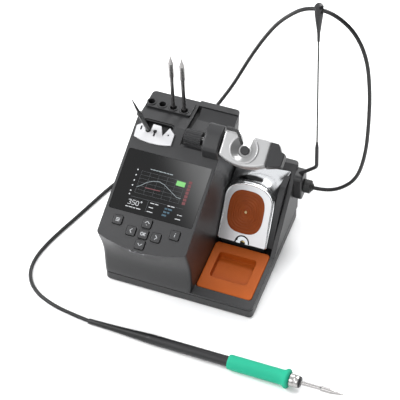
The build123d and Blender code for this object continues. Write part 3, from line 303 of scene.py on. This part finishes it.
def strokes(name, lines, width, level, finish, body, thick=0.06):
    """Flat marks on the panel: each line of (x, u) points becomes a thin raised ribbon."""
    points, faces = [], []
    for line in lines:
        start = len(points)
        flat = [Vector((x, u, 0)) for x, u in line]
        for k, spot in enumerate(flat):
            ahead = flat[min(k + 1, len(flat) - 1)] - flat[max(k - 1, 0)]
            across = Vector((-ahead.y, ahead.x, 0)).normalized() * (width / 2)
            left, right = spot + across, spot - across
            for corner, height in ((left, thick), (right, thick), (right, 0), (left, 0)):
                points.append(on_panel(corner.x, corner.y, level + height))
        for k in range(len(flat) - 1):
            a, b = start + 4 * k, start + 4 * k + 4
            for c in range(4):
                d = (c + 1) % 4
                faces.append((a + c, a + d, b + d, b + c))
        faces.append((start + 3, start + 2, start + 1, start))
        faces.append(tuple(len(points) - 4 + c for c in range(4)))
    return piece(name, points, faces, finish, body, smooth=False)


# ---- Cable ----
CABLE_ROUTE = [
    (96.0, 64.0, 57.0), (108.0, 64.0, 57.6), (124.5, 64.0, 67.0), (140.0, 64.0, 88.0), (147.0, 64.0, 126.0),
    (148.3, 64.0, 170.0), (147.5, 64.0, 214.0), (143.0, 64.0, 255.0), (131.0, 64.0, 284.0),
    (113.5, 64.0, 299.5), (97.0, 64.0, 303.5), (81.0, 66.5, 296.5), (66.0, 73.0, 278.0),
    (50.8, 81.0, 254.5), (33.5, 89.5, 219.5), (16.0, 97.0, 179.0), (0.0, 102.5, 138.5),
    (-14.0, 106.5, 108.0), (-33.0, 109.0, 70.0), (-55.0, 108.0, 33.0), (-76.0, 100.0, 9.0),
    (-93.0, 86.0, 2.0), (-104.5, 69.0, 2.0), (-112.8, 53.0, 2.0), (-121.0, 34.0, 2.0), (-133.5, -2.0, 2.0),
    (-149.5, -45.0, 2.0), (-155.3, -73.0, 2.0), (-151.0, -94.5, 2.0), (-137.0, -110.0, 2.0),
    (-116.5, -118.7, 2.0), (-94.0, -123.2, 2.0), (-72.1, -126.2, 3.0),
]
CABLE_RADIUS = 1.9


def make_cable(strain_relief):
    """The tool cable, one NURBS line from the plug to the handpiece's strain relief."""
    curve = bpy.data.curves.new("tool_cable_line", "CURVE")
    curve.dimensions = "3D"
    curve.bevel_depth = CABLE_RADIUS * MM
    curve.bevel_resolution = 6
    curve.use_fill_caps = True
    spline = curve.splines.new("NURBS")
    spline.points.add(len(CABLE_ROUTE) - 1)
    for spot, place in zip(spline.points, CABLE_ROUTE):
        spot.co = (*[c * MM for c in place], 1.0)
    spline.order_u = 3
    spline.use_endpoint_u = True
    spline.resolution_u = 10
    curve.materials.append(MATERIALS["cable_jacket"])
    cable = bpy.data.objects.new("tool_cable_line", curve)
    bpy.context.scene.collection.objects.link(cable)
    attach(cable, "root")
    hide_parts("tool_cable")


# ---- Handpiece ----
RELIEF_END = 62.5


def make_strain_relief():
    """Smooth tapered sleeve between the cable and the handle."""
    profile = [(0.0, 2.0), (0.0, 2.5), (0.6, 2.7), (12.0, 2.8), (28.0, 3.2), (44.0, 3.9), (54.0, 4.4),
               (60.0, 4.65), (RELIEF_END, 4.7)]
    made = turned("strain_relief_sleeve", profile, HAND_TAIL, HAND_DIR, MATERIALS["cable_jacket"], "root")
    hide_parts("strain_relief")
    return made


def make_grip():
    """Soft green grip, straight up to the narrow guard at its front end."""
    profile = [(147.0, 5.1), (147.0, 6.6), (147.3, 7.0), (148.2, 7.3), (150.0, 7.45), (165, 7.5), (200, 7.55),
               (202.8, 7.8), (204.2, 8.7), (205.3, 9.5), (206.4, 9.75), (207.6, 9.5), (208.6, 8.8),
               (209.2, 7.8), (209.2, 4.9)]
    made = turned("soft_grip", profile, HAND_TAIL, HAND_DIR, MATERIALS["grip_foam"], "root", steps=64,
                  angle=50)
    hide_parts("handle_grip")


def make_ferrule():
    """Steel ferrule in front of the grip, its dark end ring, and the handle's collar at the other end."""
    sleeve = turned("ferrule_sleeve", [(209.3, 5.0), (209.3, 6.0), (209.7, 6.3), (213.9, 6.25), (214.2, 6.05),
                                       (214.6, 6.2), (218.0, 6.1), (218.5, 5.8), (218.5, 2.6)],
                    HAND_TAIL, HAND_DIR, MATERIALS["ferrule_metal"], "root")
    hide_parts("handle_ferrule")
    end = turned("ferrule_end_ring", [(218.4, 2.6), (218.4, 5.6), (219.6, 5.4), (220.2, 4.6), (220.2, 2.3)],
                 HAND_TAIL, HAND_DIR, MATERIALS["dark_plastic"], "root")
    collar = turned("handle_collar", [(62.4, 4.6), (62.4, 4.85), (64.0, 4.9), (64.2, 4.6)],
                    HAND_TAIL, HAND_DIR, MATERIALS["handle_plastic"], "root")


# ---- Tip cleaner ----
ARCH = [(15.3, -0.5), (15.3, 46), (16.4, 51.5), (19.6, 56.2), (25, 59.8), (32, 61.8), (40, 62.4), (48, 61.8),
        (56, 59.3), (61.6, 55), (64.9, 49.5), (65.7, 43), (66.3, -0.5)]
MEMBRANE_X, MEMBRANE_V = 39.3, 32.2
MEMBRANE_W, MEMBRANE_H = 37.2, 45.1
MEMBRANE_CENTRE = Vector((MEMBRANE_X, MEMBRANE_V))
NOTCH_X, NOTCH_R, NOTCH_V = 41.0, 7.0, 0.2
HOOD_STEPS, HOOD_BENDS = 120, 12
HOOD_SHEET = 1.1
HOOD_BACK = [(15.8, 57.0, 65.5), (42, 62.5, 69.0), (71.5, 64.5, 71.0)]
CROWN_FROM, CROWN_SPAN = 38.0, 14.0
SWEEP_WIDTH = 49.0
PLATE_STEPS = 144
PLATE_INSET = 0.9
PLATE_TOP = 61.6
# Centre and size of the painted dark reflection on the hood, in millimetres.
PAINTED_REFLECTION_AT = (37.0, 47.5, 67.5)
PAINTED_REFLECTION_SIZE = (20.0, 5.5, 6.0)


def along_line(line, share):
    """Point at a share of a polyline's length."""
    lengths = [(Vector(b) - Vector(a)).length for a, b in zip(line, line[1:])]
    left = share * sum(lengths)
    for (a, b), length in zip(zip(line, line[1:]), lengths):
        if left <= length:
            return Vector(a).lerp(Vector(b), left / length)
        left -= length
    return Vector(line[-1])


def rounded_oval(turn, width, height, power=2.9):
    """Point of a squarish oval round the membrane's centre."""
    c, s = math.cos(turn), math.sin(turn)
    x = math.copysign(abs(c) ** (2 / power), c) * width / 2
    v = math.copysign(abs(s) ** (2 / power), s) * height / 2
    return Vector((MEMBRANE_X + x, MEMBRANE_V + v))


def make_cover():
    """Chrome cover: rim of its arched face and a hood sweeping back and out, with the pieces set into it."""
    points = []
    for k in range(HOOD_STEPS + 1):
        spot = along_line(ARCH, k / HOOD_STEPS)
        face = on_face(spot.x, spot.y, 0)
        crown = max(0.0, min(1.0, (spot.y - CROWN_FROM) / CROWN_SPAN))
        crown = crown * crown * (3 - 2 * crown)
        sweep = max(0.0, min(1.0, (spot.x - ARCH[0][0]) / SWEEP_WIDTH))
        straight = face - FACE_N * 11.0 + Vector((0, 4.0, 0))
        back = straight.lerp(along_line(HOOD_BACK, sweep), crown)
        pull = face - FACE_N * (5.0 + 6.0 * crown) + Vector((0, 2.0, 0))
        inward = (MEMBRANE_CENTRE - spot).normalized()
        for inset, height in ((1.6, 0.55), (0.6, 0.4)):
            rim = spot + inward * inset
            points.append(on_face(rim.x, rim.y, height))
        for bend in range(HOOD_BENDS + 1):
            t = bend / HOOD_BENDS
            points.append(face * (1 - t) ** 2 + pull * (2 * t * (1 - t)) + back * t * t)
        points.append(back - Vector((0, -0.3, 1.6)))
        points.append(back - Vector((0, -1.2, 4.5)))
    faces = grid_faces(HOOD_STEPS + 1, HOOD_BENDS + 5, False)
    hood = piece("cleaner_hood", points, faces, MATERIALS["mirror_chrome"], "cover", angle=60)
    sheet = hood.modifiers.new("sheet", "SOLIDIFY")
    sheet.thickness = HOOD_SHEET * MM
    sheet.offset = -1.0
    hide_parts("cleaner_cover")
    make_cover_plate()
    make_cover_side()
    make_notch_rim()


def notch_point(turn):
    """Point (x, v) on the round top of the wiping notch."""
    return NOTCH_X + NOTCH_R * math.cos(turn), NOTCH_V + NOTCH_R * math.sin(turn)


def make_notch_rim():
    """Dark bead round the wiping notch."""
    low, height, steps = -0.4, 0.4, 12
    line = [(NOTCH_X + NOTCH_R, low)]
    line += [notch_point(math.pi * k / steps) for k in range(steps + 1)]
    line.append((NOTCH_X - NOTCH_R, low))
    rim = [on_face(x, v, height) for x, v in line]
    tube("notch_rim", rim, 0.75, DARK_TRIM_AND_PAINTED_SHADE, "cover")


def plate_between(name, outline, low, high, finish, body):
    """Flat-sided solid: an outline of (y, z) points between two X positions."""
    points = [(low, y, z) for y, z in outline] + [(high, y, z) for y, z in outline]
    count = len(outline)
    faces = [tuple(range(count)), tuple(range(2 * count - 1, count - 1, -1))]
    faces += [(k, k + count, (k + 1) % count + count, (k + 1) % count) for k in range(count)]
    return piece(name, points, faces, finish, body, angle=30)


def make_cover_side():
    """Dark plastic flank of the cover, between the chrome face and the well's right wall."""
    foot, shoulder = on_face(0, 0.8, -1.6), on_face(0, 46.5, -1.6)
    outline = [(foot.y, foot.z), (shoulder.y, shoulder.z), (46.0, 67.6), (62.5, 69.6), (63.5, 64.0),
               (15.0, 18.0)]
    side = plate_between("cleaner_flank", outline, 66.7, 72.6, MATERIALS["dark_plastic"], "cover")


def tube(name, line, radius, finish, body, steps=10):
    """Round bead along a polyline that lies on the cover's face."""
    points = []
    for k, spot in enumerate(line):
        ahead = (line[min(k + 1, len(line) - 1)] - line[max(k - 1, 0)]).normalized()
        side = ahead.cross(FACE_N).normalized()
        points += circle(spot, side, ahead.cross(side), radius, steps)
    return piece(name, points, capped_faces(len(line), steps), finish, body, angle=60)


def add_painted_dark_reflection(chrome):
    """Painted dark reflection in the chrome's base colour: a soft dark band above the arch, where the hood
    turns under the holder's head.
    """
    nodes, links = chrome.node_tree.nodes, chrome.node_tree.links
    shader = nodes["Principled BSDF"]
    tone = shader.inputs["Base Color"].links[0].from_socket
    place = nodes.new("ShaderNodeTexCoord")
    shift = nodes.new("ShaderNodeVectorMath")
    shift.operation = "SUBTRACT"
    shift.inputs[1].default_value = [c * MM for c in PAINTED_REFLECTION_AT]
    squash = nodes.new("ShaderNodeVectorMath")
    squash.operation = "DIVIDE"
    squash.inputs[1].default_value = [c * MM for c in PAINTED_REFLECTION_SIZE]
    reach = nodes.new("ShaderNodeVectorMath")
    reach.operation = "LENGTH"
    links.new(place.outputs["Object"], shift.inputs[0])
    links.new(shift.outputs["Vector"], squash.inputs[0])
    links.new(squash.outputs["Vector"], reach.inputs[0])
    fade = nodes.new("ShaderNodeMapRange")
    fade.interpolation_type = "SMOOTHSTEP"
    fade.inputs["From Min"].default_value = 0.55
    fade.inputs["From Max"].default_value = 1.0
    links.new(reach.outputs["Value"], fade.inputs["Value"])
    blend = nodes.new("ShaderNodeMix")
    blend.data_type = "RGBA"
    blend.inputs["A"].default_value = (0.02, 0.02, 0.02, 1)
    links.new(tone, blend.inputs["B"])
    links.new(fade.outputs["Result"], blend.inputs["Factor"])
    links.new(blend.outputs["Result"], shader.inputs["Base Color"])


def make_cover_plate():
    """Flat face of the cover between its arched edge and the membrane's window, with the wiping notch."""
    count = PLATE_STEPS
    overlap = 2.4
    outer, inner = [], []
    for k in range(count):
        turn = -math.pi / 2 + 2 * math.pi * k / count
        hole = rounded_oval(turn, MEMBRANE_W - overlap, MEMBRANE_H - overlap)
        inner.append(hole)
        outer.append(edge_towards((hole - MEMBRANE_CENTRE).normalized()))
    points, faces = [], []
    for height in (0.56, -0.5):
        for a, b in zip(inner, outer):
            for t in (0.0, 0.5, 1.0):
                spot = a.lerp(b, t)
                points.append(on_face(spot.x, spot.y, height))
    half = count * 3
    for k in range(count):
        d = (k + 1) % count
        for t in (0, 1):
            a, b = 3 * k + t, 3 * d + t
            faces.append((a, b, b + 1, a + 1))
            faces.append((half + a + 1, half + b + 1, half + b, half + a))
        faces.append((3 * k, half + 3 * k, half + 3 * d, 3 * d))
        faces.append((3 * k + 2, 3 * d + 2, half + 3 * d + 2, half + 3 * k + 2))
    plate = piece("cleaner_face", points, faces, BRIGHT_FACE, "cover", angle=40)


def edge_towards(ray):
    """Where a ray from the membrane's centre meets the face's outline, its lower edge notched."""
    best = None
    outline = []
    for x, v in ARCH:
        inset = PLATE_INSET if x < 40 else -PLATE_INSET
        outline.append((x + inset * (v < 50), min(v, PLATE_TOP)))
    low = ARCH[0][1]
    outline.append((NOTCH_X + NOTCH_R, low))
    outline += [notch_point(math.pi * step / 8) for step in range(9)]
    outline += [(NOTCH_X - NOTCH_R, low), outline[0]]
    for a, b in zip(outline, outline[1:]):
        a, b = Vector(a), Vector(b)
        side = b - a
        cross = ray.x * side.y - ray.y * side.x
        if abs(cross) < 1e-9:
            continue
        gap = a - MEMBRANE_CENTRE
        far = (gap.x * side.y - gap.y * side.x) / cross
        share = (gap.x * ray.y - gap.y * ray.x) / cross
        if far > 0 and -1e-6 <= share <= 1 + 1e-6 and (best is None or far < best):
            best = far
    return MEMBRANE_CENTRE + ray * best


def make_membrane():
    """Ribbed silicone membrane with a small brass eyelet in its middle."""
    steps = 96
    rings = 46
    points = []
    for ring in range(rings + 1):
        size = 0.07 + 0.93 * ring / rings
        ridge = 0.16 * math.cos(size * 2 * math.pi * 8) * (1 if size < 0.86 else 0)
        edge = 0.55 * (1 - max(0.0, (size - 0.93) / 0.07) ** 2)
        dish = -0.5 * (1 - size) ** 2
        power = 2.0 + 0.9 * size
        for k in range(steps):
            spot = rounded_oval(2 * math.pi * k / steps, MEMBRANE_W * size, MEMBRANE_H * size, power)
            points.append(on_face(spot.x, spot.y, 0.75 + edge + ridge + dish))
    for size, level in ((1.0, 0.55), (0.93, 0.3), (0.93, -2.5), (0.07, -2.5)):
        for k in range(steps):
            turn = 2 * math.pi * k / steps
            spot = rounded_oval(turn, MEMBRANE_W * size, MEMBRANE_H * size, 2.0 + 0.9 * size)
            points.append(on_face(spot.x, spot.y, level))
    faces = grid_faces(rings + 5, steps, True)
    last = (rings + 4) * steps
    faces += [(last + k, last + (k + 1) % steps, (k + 1) % steps, k) for k in range(steps)]
    made = piece("ribbed_membrane", points, faces, MATERIALS["membrane_rubber"], "membrane", angle=60)
    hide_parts("cleaner_membrane")
    centre = on_face(MEMBRANE_X, MEMBRANE_V, -0.2)
    profile = [(0, 0.4), (0, 1.35), (1.0, 1.35), (1.25, 1.0), (1.25, 0.4)]
    eyelet = turned("membrane_eyelet", profile, centre, FACE_N, MATERIALS["spacer"], "membrane", steps=24)


# ---- Marks on the screen and the keys ----
GLASS_TOP = 0.12
OVER_GRID = 0.04
SCREEN_PRINT = 0.03
KEY_PRINT = 0.04
KEY_TOP = 1.3
KEYS = {
    "key_menu": (-61.1, 16.9), "key_up": (-32.0, 20.4), "key_left": (-44.9, 9.6), "key_ok": (-32.1, 9.4),
    "key_right": (-19.2, 9.3), "key_down": (-32.1, -1.4), "key_info": (-2.1, 16.2),
}
KEY_MARKS = {
    "key_menu": [[(-1.9, 1.4), (1.9, 1.4)], [(-1.9, 0), (1.9, 0)], [(-1.9, -1.4), (1.9, -1.4)]],
    "key_up": [[(-2.2, 0.2), (0, 2.2), (2.2, 0.2)], [(-0.5, -1.6), (0.5, -1.6)]],
    "key_left": [[(0.9, 2.2), (-1.1, 0), (0.9, -2.2)]],
    "key_ok": [
        [(-1.5 + 1.2 * math.cos(a * math.pi / 6), 1.5 * math.sin(a * math.pi / 6)) for a in range(13)],
        [(0.5, 1.6), (0.5, -1.6)], [(2.3, 1.6), (0.7, 0), (2.3, -1.6)],
    ],
    "key_right": [[(-0.9, 2.2), (1.1, 0), (-0.9, -2.2)]],
    "key_down": [[(-2.2, 0.9), (0, -1.3), (2.2, 0.9)]],
    "key_info": [[(0.3, 2.1), (0.31, 1.4)], [(0.1, 0.6), (-0.2, -1.9)]],
}
DIGITS = [
    [(0, 3.6), (1.6, 3.9), (1.9, 2.9), (0.9, 2.1), (2.0, 1.3), (1.7, 0.2), (0, 0.2)],
    [(2.0, 3.8), (0.3, 3.8), (0.1, 2.2), (1.7, 2.2), (2.0, 1.0), (1.4, 0.1), (0, 0.3)],
    [(1.0, 3.9), (0.1, 3.2), (0.1, 0.8), (1.0, 0.1), (1.9, 0.8), (1.9, 3.2), (1.0, 3.9)],
]
SMOOTH_CURVE = [(-54.6, 53.0), (-50.3, 56.2), (-46.2, 60.0), (-40.3, 63.0), (-34.5, 64.0), (-29.4, 62.6),
                (-21.9, 58.4), (-13.3, 53.4), (-8.7, 53.0)]


def dashes(x, u, lengths, gap=0.7):
    """A row of short dashes that stands for a line of small print."""
    row = []
    for length in lengths:
        row.append([(x, u), (x + length, u)])
        x += length + gap
    return row


def make_screen_marks():
    """What the display shows: a curve over a grid, bars, digits and rows of small marks."""
    grid = [[(-54.5, 47.5 + 3.8 * k), (-9.5, 47.7 + 3.8 * k)] for k in range(7)]
    grid += [[(-54.5 + 9 * k, 47.5), (-54.5 + 9 * k, 70.3)] for k in range(6)]
    rules = [[(-56.9, 43.0), (-3.3, 43.6)], [(-38.3, 42.6), (-38.2, 31.4)]]
    bars = [[(-4.6, 72.2 - 3.6 * k), (-4.4, 69.4 - 3.6 * k)] for k in range(7)]
    values = dashes(-20.6, 39.6, (2.5, 4.2)) + dashes(-21.0, 36.2, (3.2, 2.4)) + dashes(-21.4, 32.8, (4.4,))
    header = dashes(-46.8, 74.0, (1.8, 3.0, 2.2, 4.0, 3.2, 2.4, 3.4), 0.5)
    side = [[(-59.6, u), (-58.3, u)] for u in (70.5, 64.9, 59.3, 54.0, 48.5, 44.9)]
    small = dashes(-58.9, 32.4, (2.6, 4.0, 2.2, 4.6)) + dashes(-36.0, 41.2, (4.2, 3.4))
    small += dashes(-36.2, 36.8, (4.6,)) + dashes(-36.6, 32.3, (5.6,)) + dashes(-18.8, 43.0, (2.8, 3.6))
    small += dashes(-7.0, 36.7, (1.6, 2.6)) + dashes(-7.7, 32.4, (5.4,))
    digits = []
    for k, shape in enumerate(DIGITS):
        digits.append([(-57.6 + 3.9 * k + 1.5 * x, 34.9 + 1.25 * u) for x, u in shape])
    degree = [(-44.6 + 0.6 * math.cos(a * math.pi / 4), 39.6 + 0.6 * math.sin(a * math.pi / 4))
              for a in range(9)]
    for name, lines, width, lift, finish in (
        ("grid", grid, 0.18, 0.0, MARK_DIM),
        ("rules", rules, 0.25, 0.0, MARK_DIM),
        ("curve", [SMOOTH_CURVE], 0.45, OVER_GRID, MARK_CURVE),
        ("base_line", [[(-46.3, 54.6), (-30.5, 55.0)]], 0.8, OVER_GRID, MARK_RED),
        ("green_label", [[(-17.8, 67.4), (-8.9, 67.2)]], 4.9, OVER_GRID, MARK_GREEN),
        ("red_column", bars, 3.2, 0.0, MARK_RED),
        ("blue_values", values, 1.7, 0.0, MARK_BLUE),
        ("header", header, 0.85, 0.0, MARK_CURVE),
        ("side_marks", side, 1.3, 0.0, MARK_PALE),
        ("small_print", small, 0.8, 0.0, MARK_PALE),
        ("digits", digits + [degree], 0.62, 0.0, MARK_PALE),
    ):
        strokes("screen_" + name, lines, width, GLASS_TOP + lift, finish, "root", thick=SCREEN_PRINT)


def make_key_marks():
    """Printed symbols on the keys, each riding on its key; they take the screen's glowing mark finish, so the
    pale print also carries a faint painted glow.
    """
    for key, marks in KEY_MARKS.items():
        x, u = KEYS[key]
        lines = [[(x + dx, u + du) for dx, du in line] for line in marks]
        strokes(key + "_mark", lines, 0.62, KEY_TOP, MARK_PALE, key, thick=KEY_PRINT)


# ---- Sensor lead on the holder's head ----
LEAD = [(16.6, 13.9, 1.8), (22.5, 13.7, 3.0), (28.0, 12.6, 3.6), (31.0, 9.0, 3.0), (33.0, 5.2, 1.8),
        (34.8, 2.4, -1.6)]
LEAD_RIBS = 14
LEAD_REACH = 0.02


def make_lead():
    """Segmented lead that runs from the arm along the slot to the tool bore."""
    line = [on_head(*place) for place in LEAD]
    steps = 12
    rows = LEAD_RIBS * 4 + 1
    points = []
    for k in range(rows):
        share = k / (rows - 1)
        ahead = along_line(line, min(1, share + LEAD_REACH)) - along_line(line, max(0, share - LEAD_REACH))
        ahead.normalize()
        side = ahead.orthogonal().normalized()
        radius = 1.75 if k % 4 in (1, 2) else 1.25
        points += circle(along_line(line, share), side, ahead.cross(side), radius, steps)
    made = piece("segmented_lead", points, capped_faces(rows, steps), MATERIALS["lead_rubber"], "head",
                 angle=60)
    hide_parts("sensor_lead")


BORE_X, BORE_V = 38.3, -2.4


def make_bore_sleeve():
    """Dark sleeve inside the tool bore of the head."""
    base = on_head(BORE_X, BORE_V, -13.0)
    sleeve = turned("bore_sleeve", [(0, 3.95), (0, 4.3), (9.6, 4.3), (9.6, 3.95)], base, HEAD_N,
                    MATERIALS["dark_plastic"], "head")


def make_painted_deck_shade():
    """A thin black wedge laid on the deck as painted shade along the step between the two decks, tapering
    towards the front.
    """
    outline = [(-26.9, 23.0), (-26.5, 23.0), (-23.6, 71.8), (-26.9, 71.8)]
    deck = [123.0 - (y - 19.0) * 3.3 / 63.0 for _, y in outline]
    points = [(x, y, z + rise) for rise in (-0.2, 0.12) for (x, y), z in zip(outline, deck)]
    faces = [(3, 2, 1, 0), (4, 5, 6, 7)] + [(k, (k + 1) % 4, (k + 1) % 4 + 4, k + 4) for k in range(4)]
    piece("painted_deck_shade", points, faces, DARK_TRIM_AND_PAINTED_SHADE, "root", smooth=False)


def make_deck_rise():
    """Gentle rise of the lower deck up to the ledge at the back."""
    outline = [(58.0, 120.7), (71.9, 125.3), (71.9, 120.0), (58.0, 120.5)]
    rise = plate_between("deck_rise", outline, -23.4, 14.3, MATERIALS["casing"], "root")


# ---- Studio ----
LIGHTS = (
    ("key_light", (-1.5, -0.5, 1.7), (0, 0, 0.1), 1.0, 38),
    ("back_light", (0.25, 1.5, 1.6), (0, 0, 0.1), 0.9, 34),
    ("front_light", (0.0, -1.7, 1.5), (0, -0.1, 0.0), 1.2, 14),
)


def make_floor():
    """Pale floor, which isn't part of the object."""
    floor = bpy.data.meshes.new("studio_floor")
    size = 6.0
    corners = [(-size, -size, 0), (size, -size, 0), (size, size, 0), (-size, size, 0)]
    floor.from_pydata(corners, [], [(0, 1, 2, 3)])
    floor.materials.append(material("studio_floor", (0.93, 0.93, 0.93), rough=0.7, tint=0.01, grain=0.0))
    ground = bpy.data.objects.new("studio_floor", floor)
    bpy.context.scene.collection.objects.link(ground)


def make_sky():
    """Soft white surroundings, bright all round but for the right, where they fall off to dark."""
    world = bpy.data.worlds.new("studio_world")
    bpy.context.scene.world = world
    world.use_nodes = True
    nodes, links = world.node_tree.nodes, world.node_tree.links
    way = nodes.new("ShaderNodeTexCoord")
    parts = nodes.new("ShaderNodeSeparateXYZ")
    links.new(way.outputs["Generated"], parts.inputs["Vector"])
    across = nodes.new("ShaderNodeMath")
    across.operation = "MULTIPLY_ADD"
    across.inputs[1].default_value = -0.55
    links.new(parts.outputs["Z"], across.inputs[0])
    links.new(parts.outputs["X"], across.inputs[2])
    fall = nodes.new("ShaderNodeMapRange")
    fall.interpolation_type = "SMOOTHSTEP"
    fall.inputs["From Min"].default_value = -0.25
    fall.inputs["From Max"].default_value = 0.35
    fall.inputs["To Min"].default_value = 1.0
    fall.inputs["To Max"].default_value = 0.04
    links.new(across.outputs["Value"], fall.inputs["Value"])
    background = nodes["Background"]
    background.inputs["Color"].default_value = (0.97, 0.98, 1.0, 1)
    links.new(fall.outputs["Result"], background.inputs["Strength"])


def make_lights():
    """Large soft lights from the left, from behind and from the front."""
    for name, place, aim, width, power in LIGHTS:
        data = bpy.data.lights.new(name, "AREA")
        data.shape = "DISK"
        data.size = width
        data.energy = power
        light = bpy.data.objects.new(name, data)
        bpy.context.scene.collection.objects.link(light)
        light.location = place
        light.rotation_euler = (Vector(aim) - Vector(place)).to_track_quat("-Z", "Y").to_euler()


make_camera()
dress_cad_nodes()
make_cable(make_strain_relief())
make_grip()
make_ferrule()
add_painted_dark_reflection(MATERIALS["mirror_chrome"])
make_cover()
make_membrane()
make_screen_marks()
make_key_marks()
make_lead()
make_bore_sleeve()
make_painted_deck_shade()
make_deck_rise()
bpy.context.scene.view_settings.view_transform = "Standard"
make_floor()
make_sky()
make_lights()
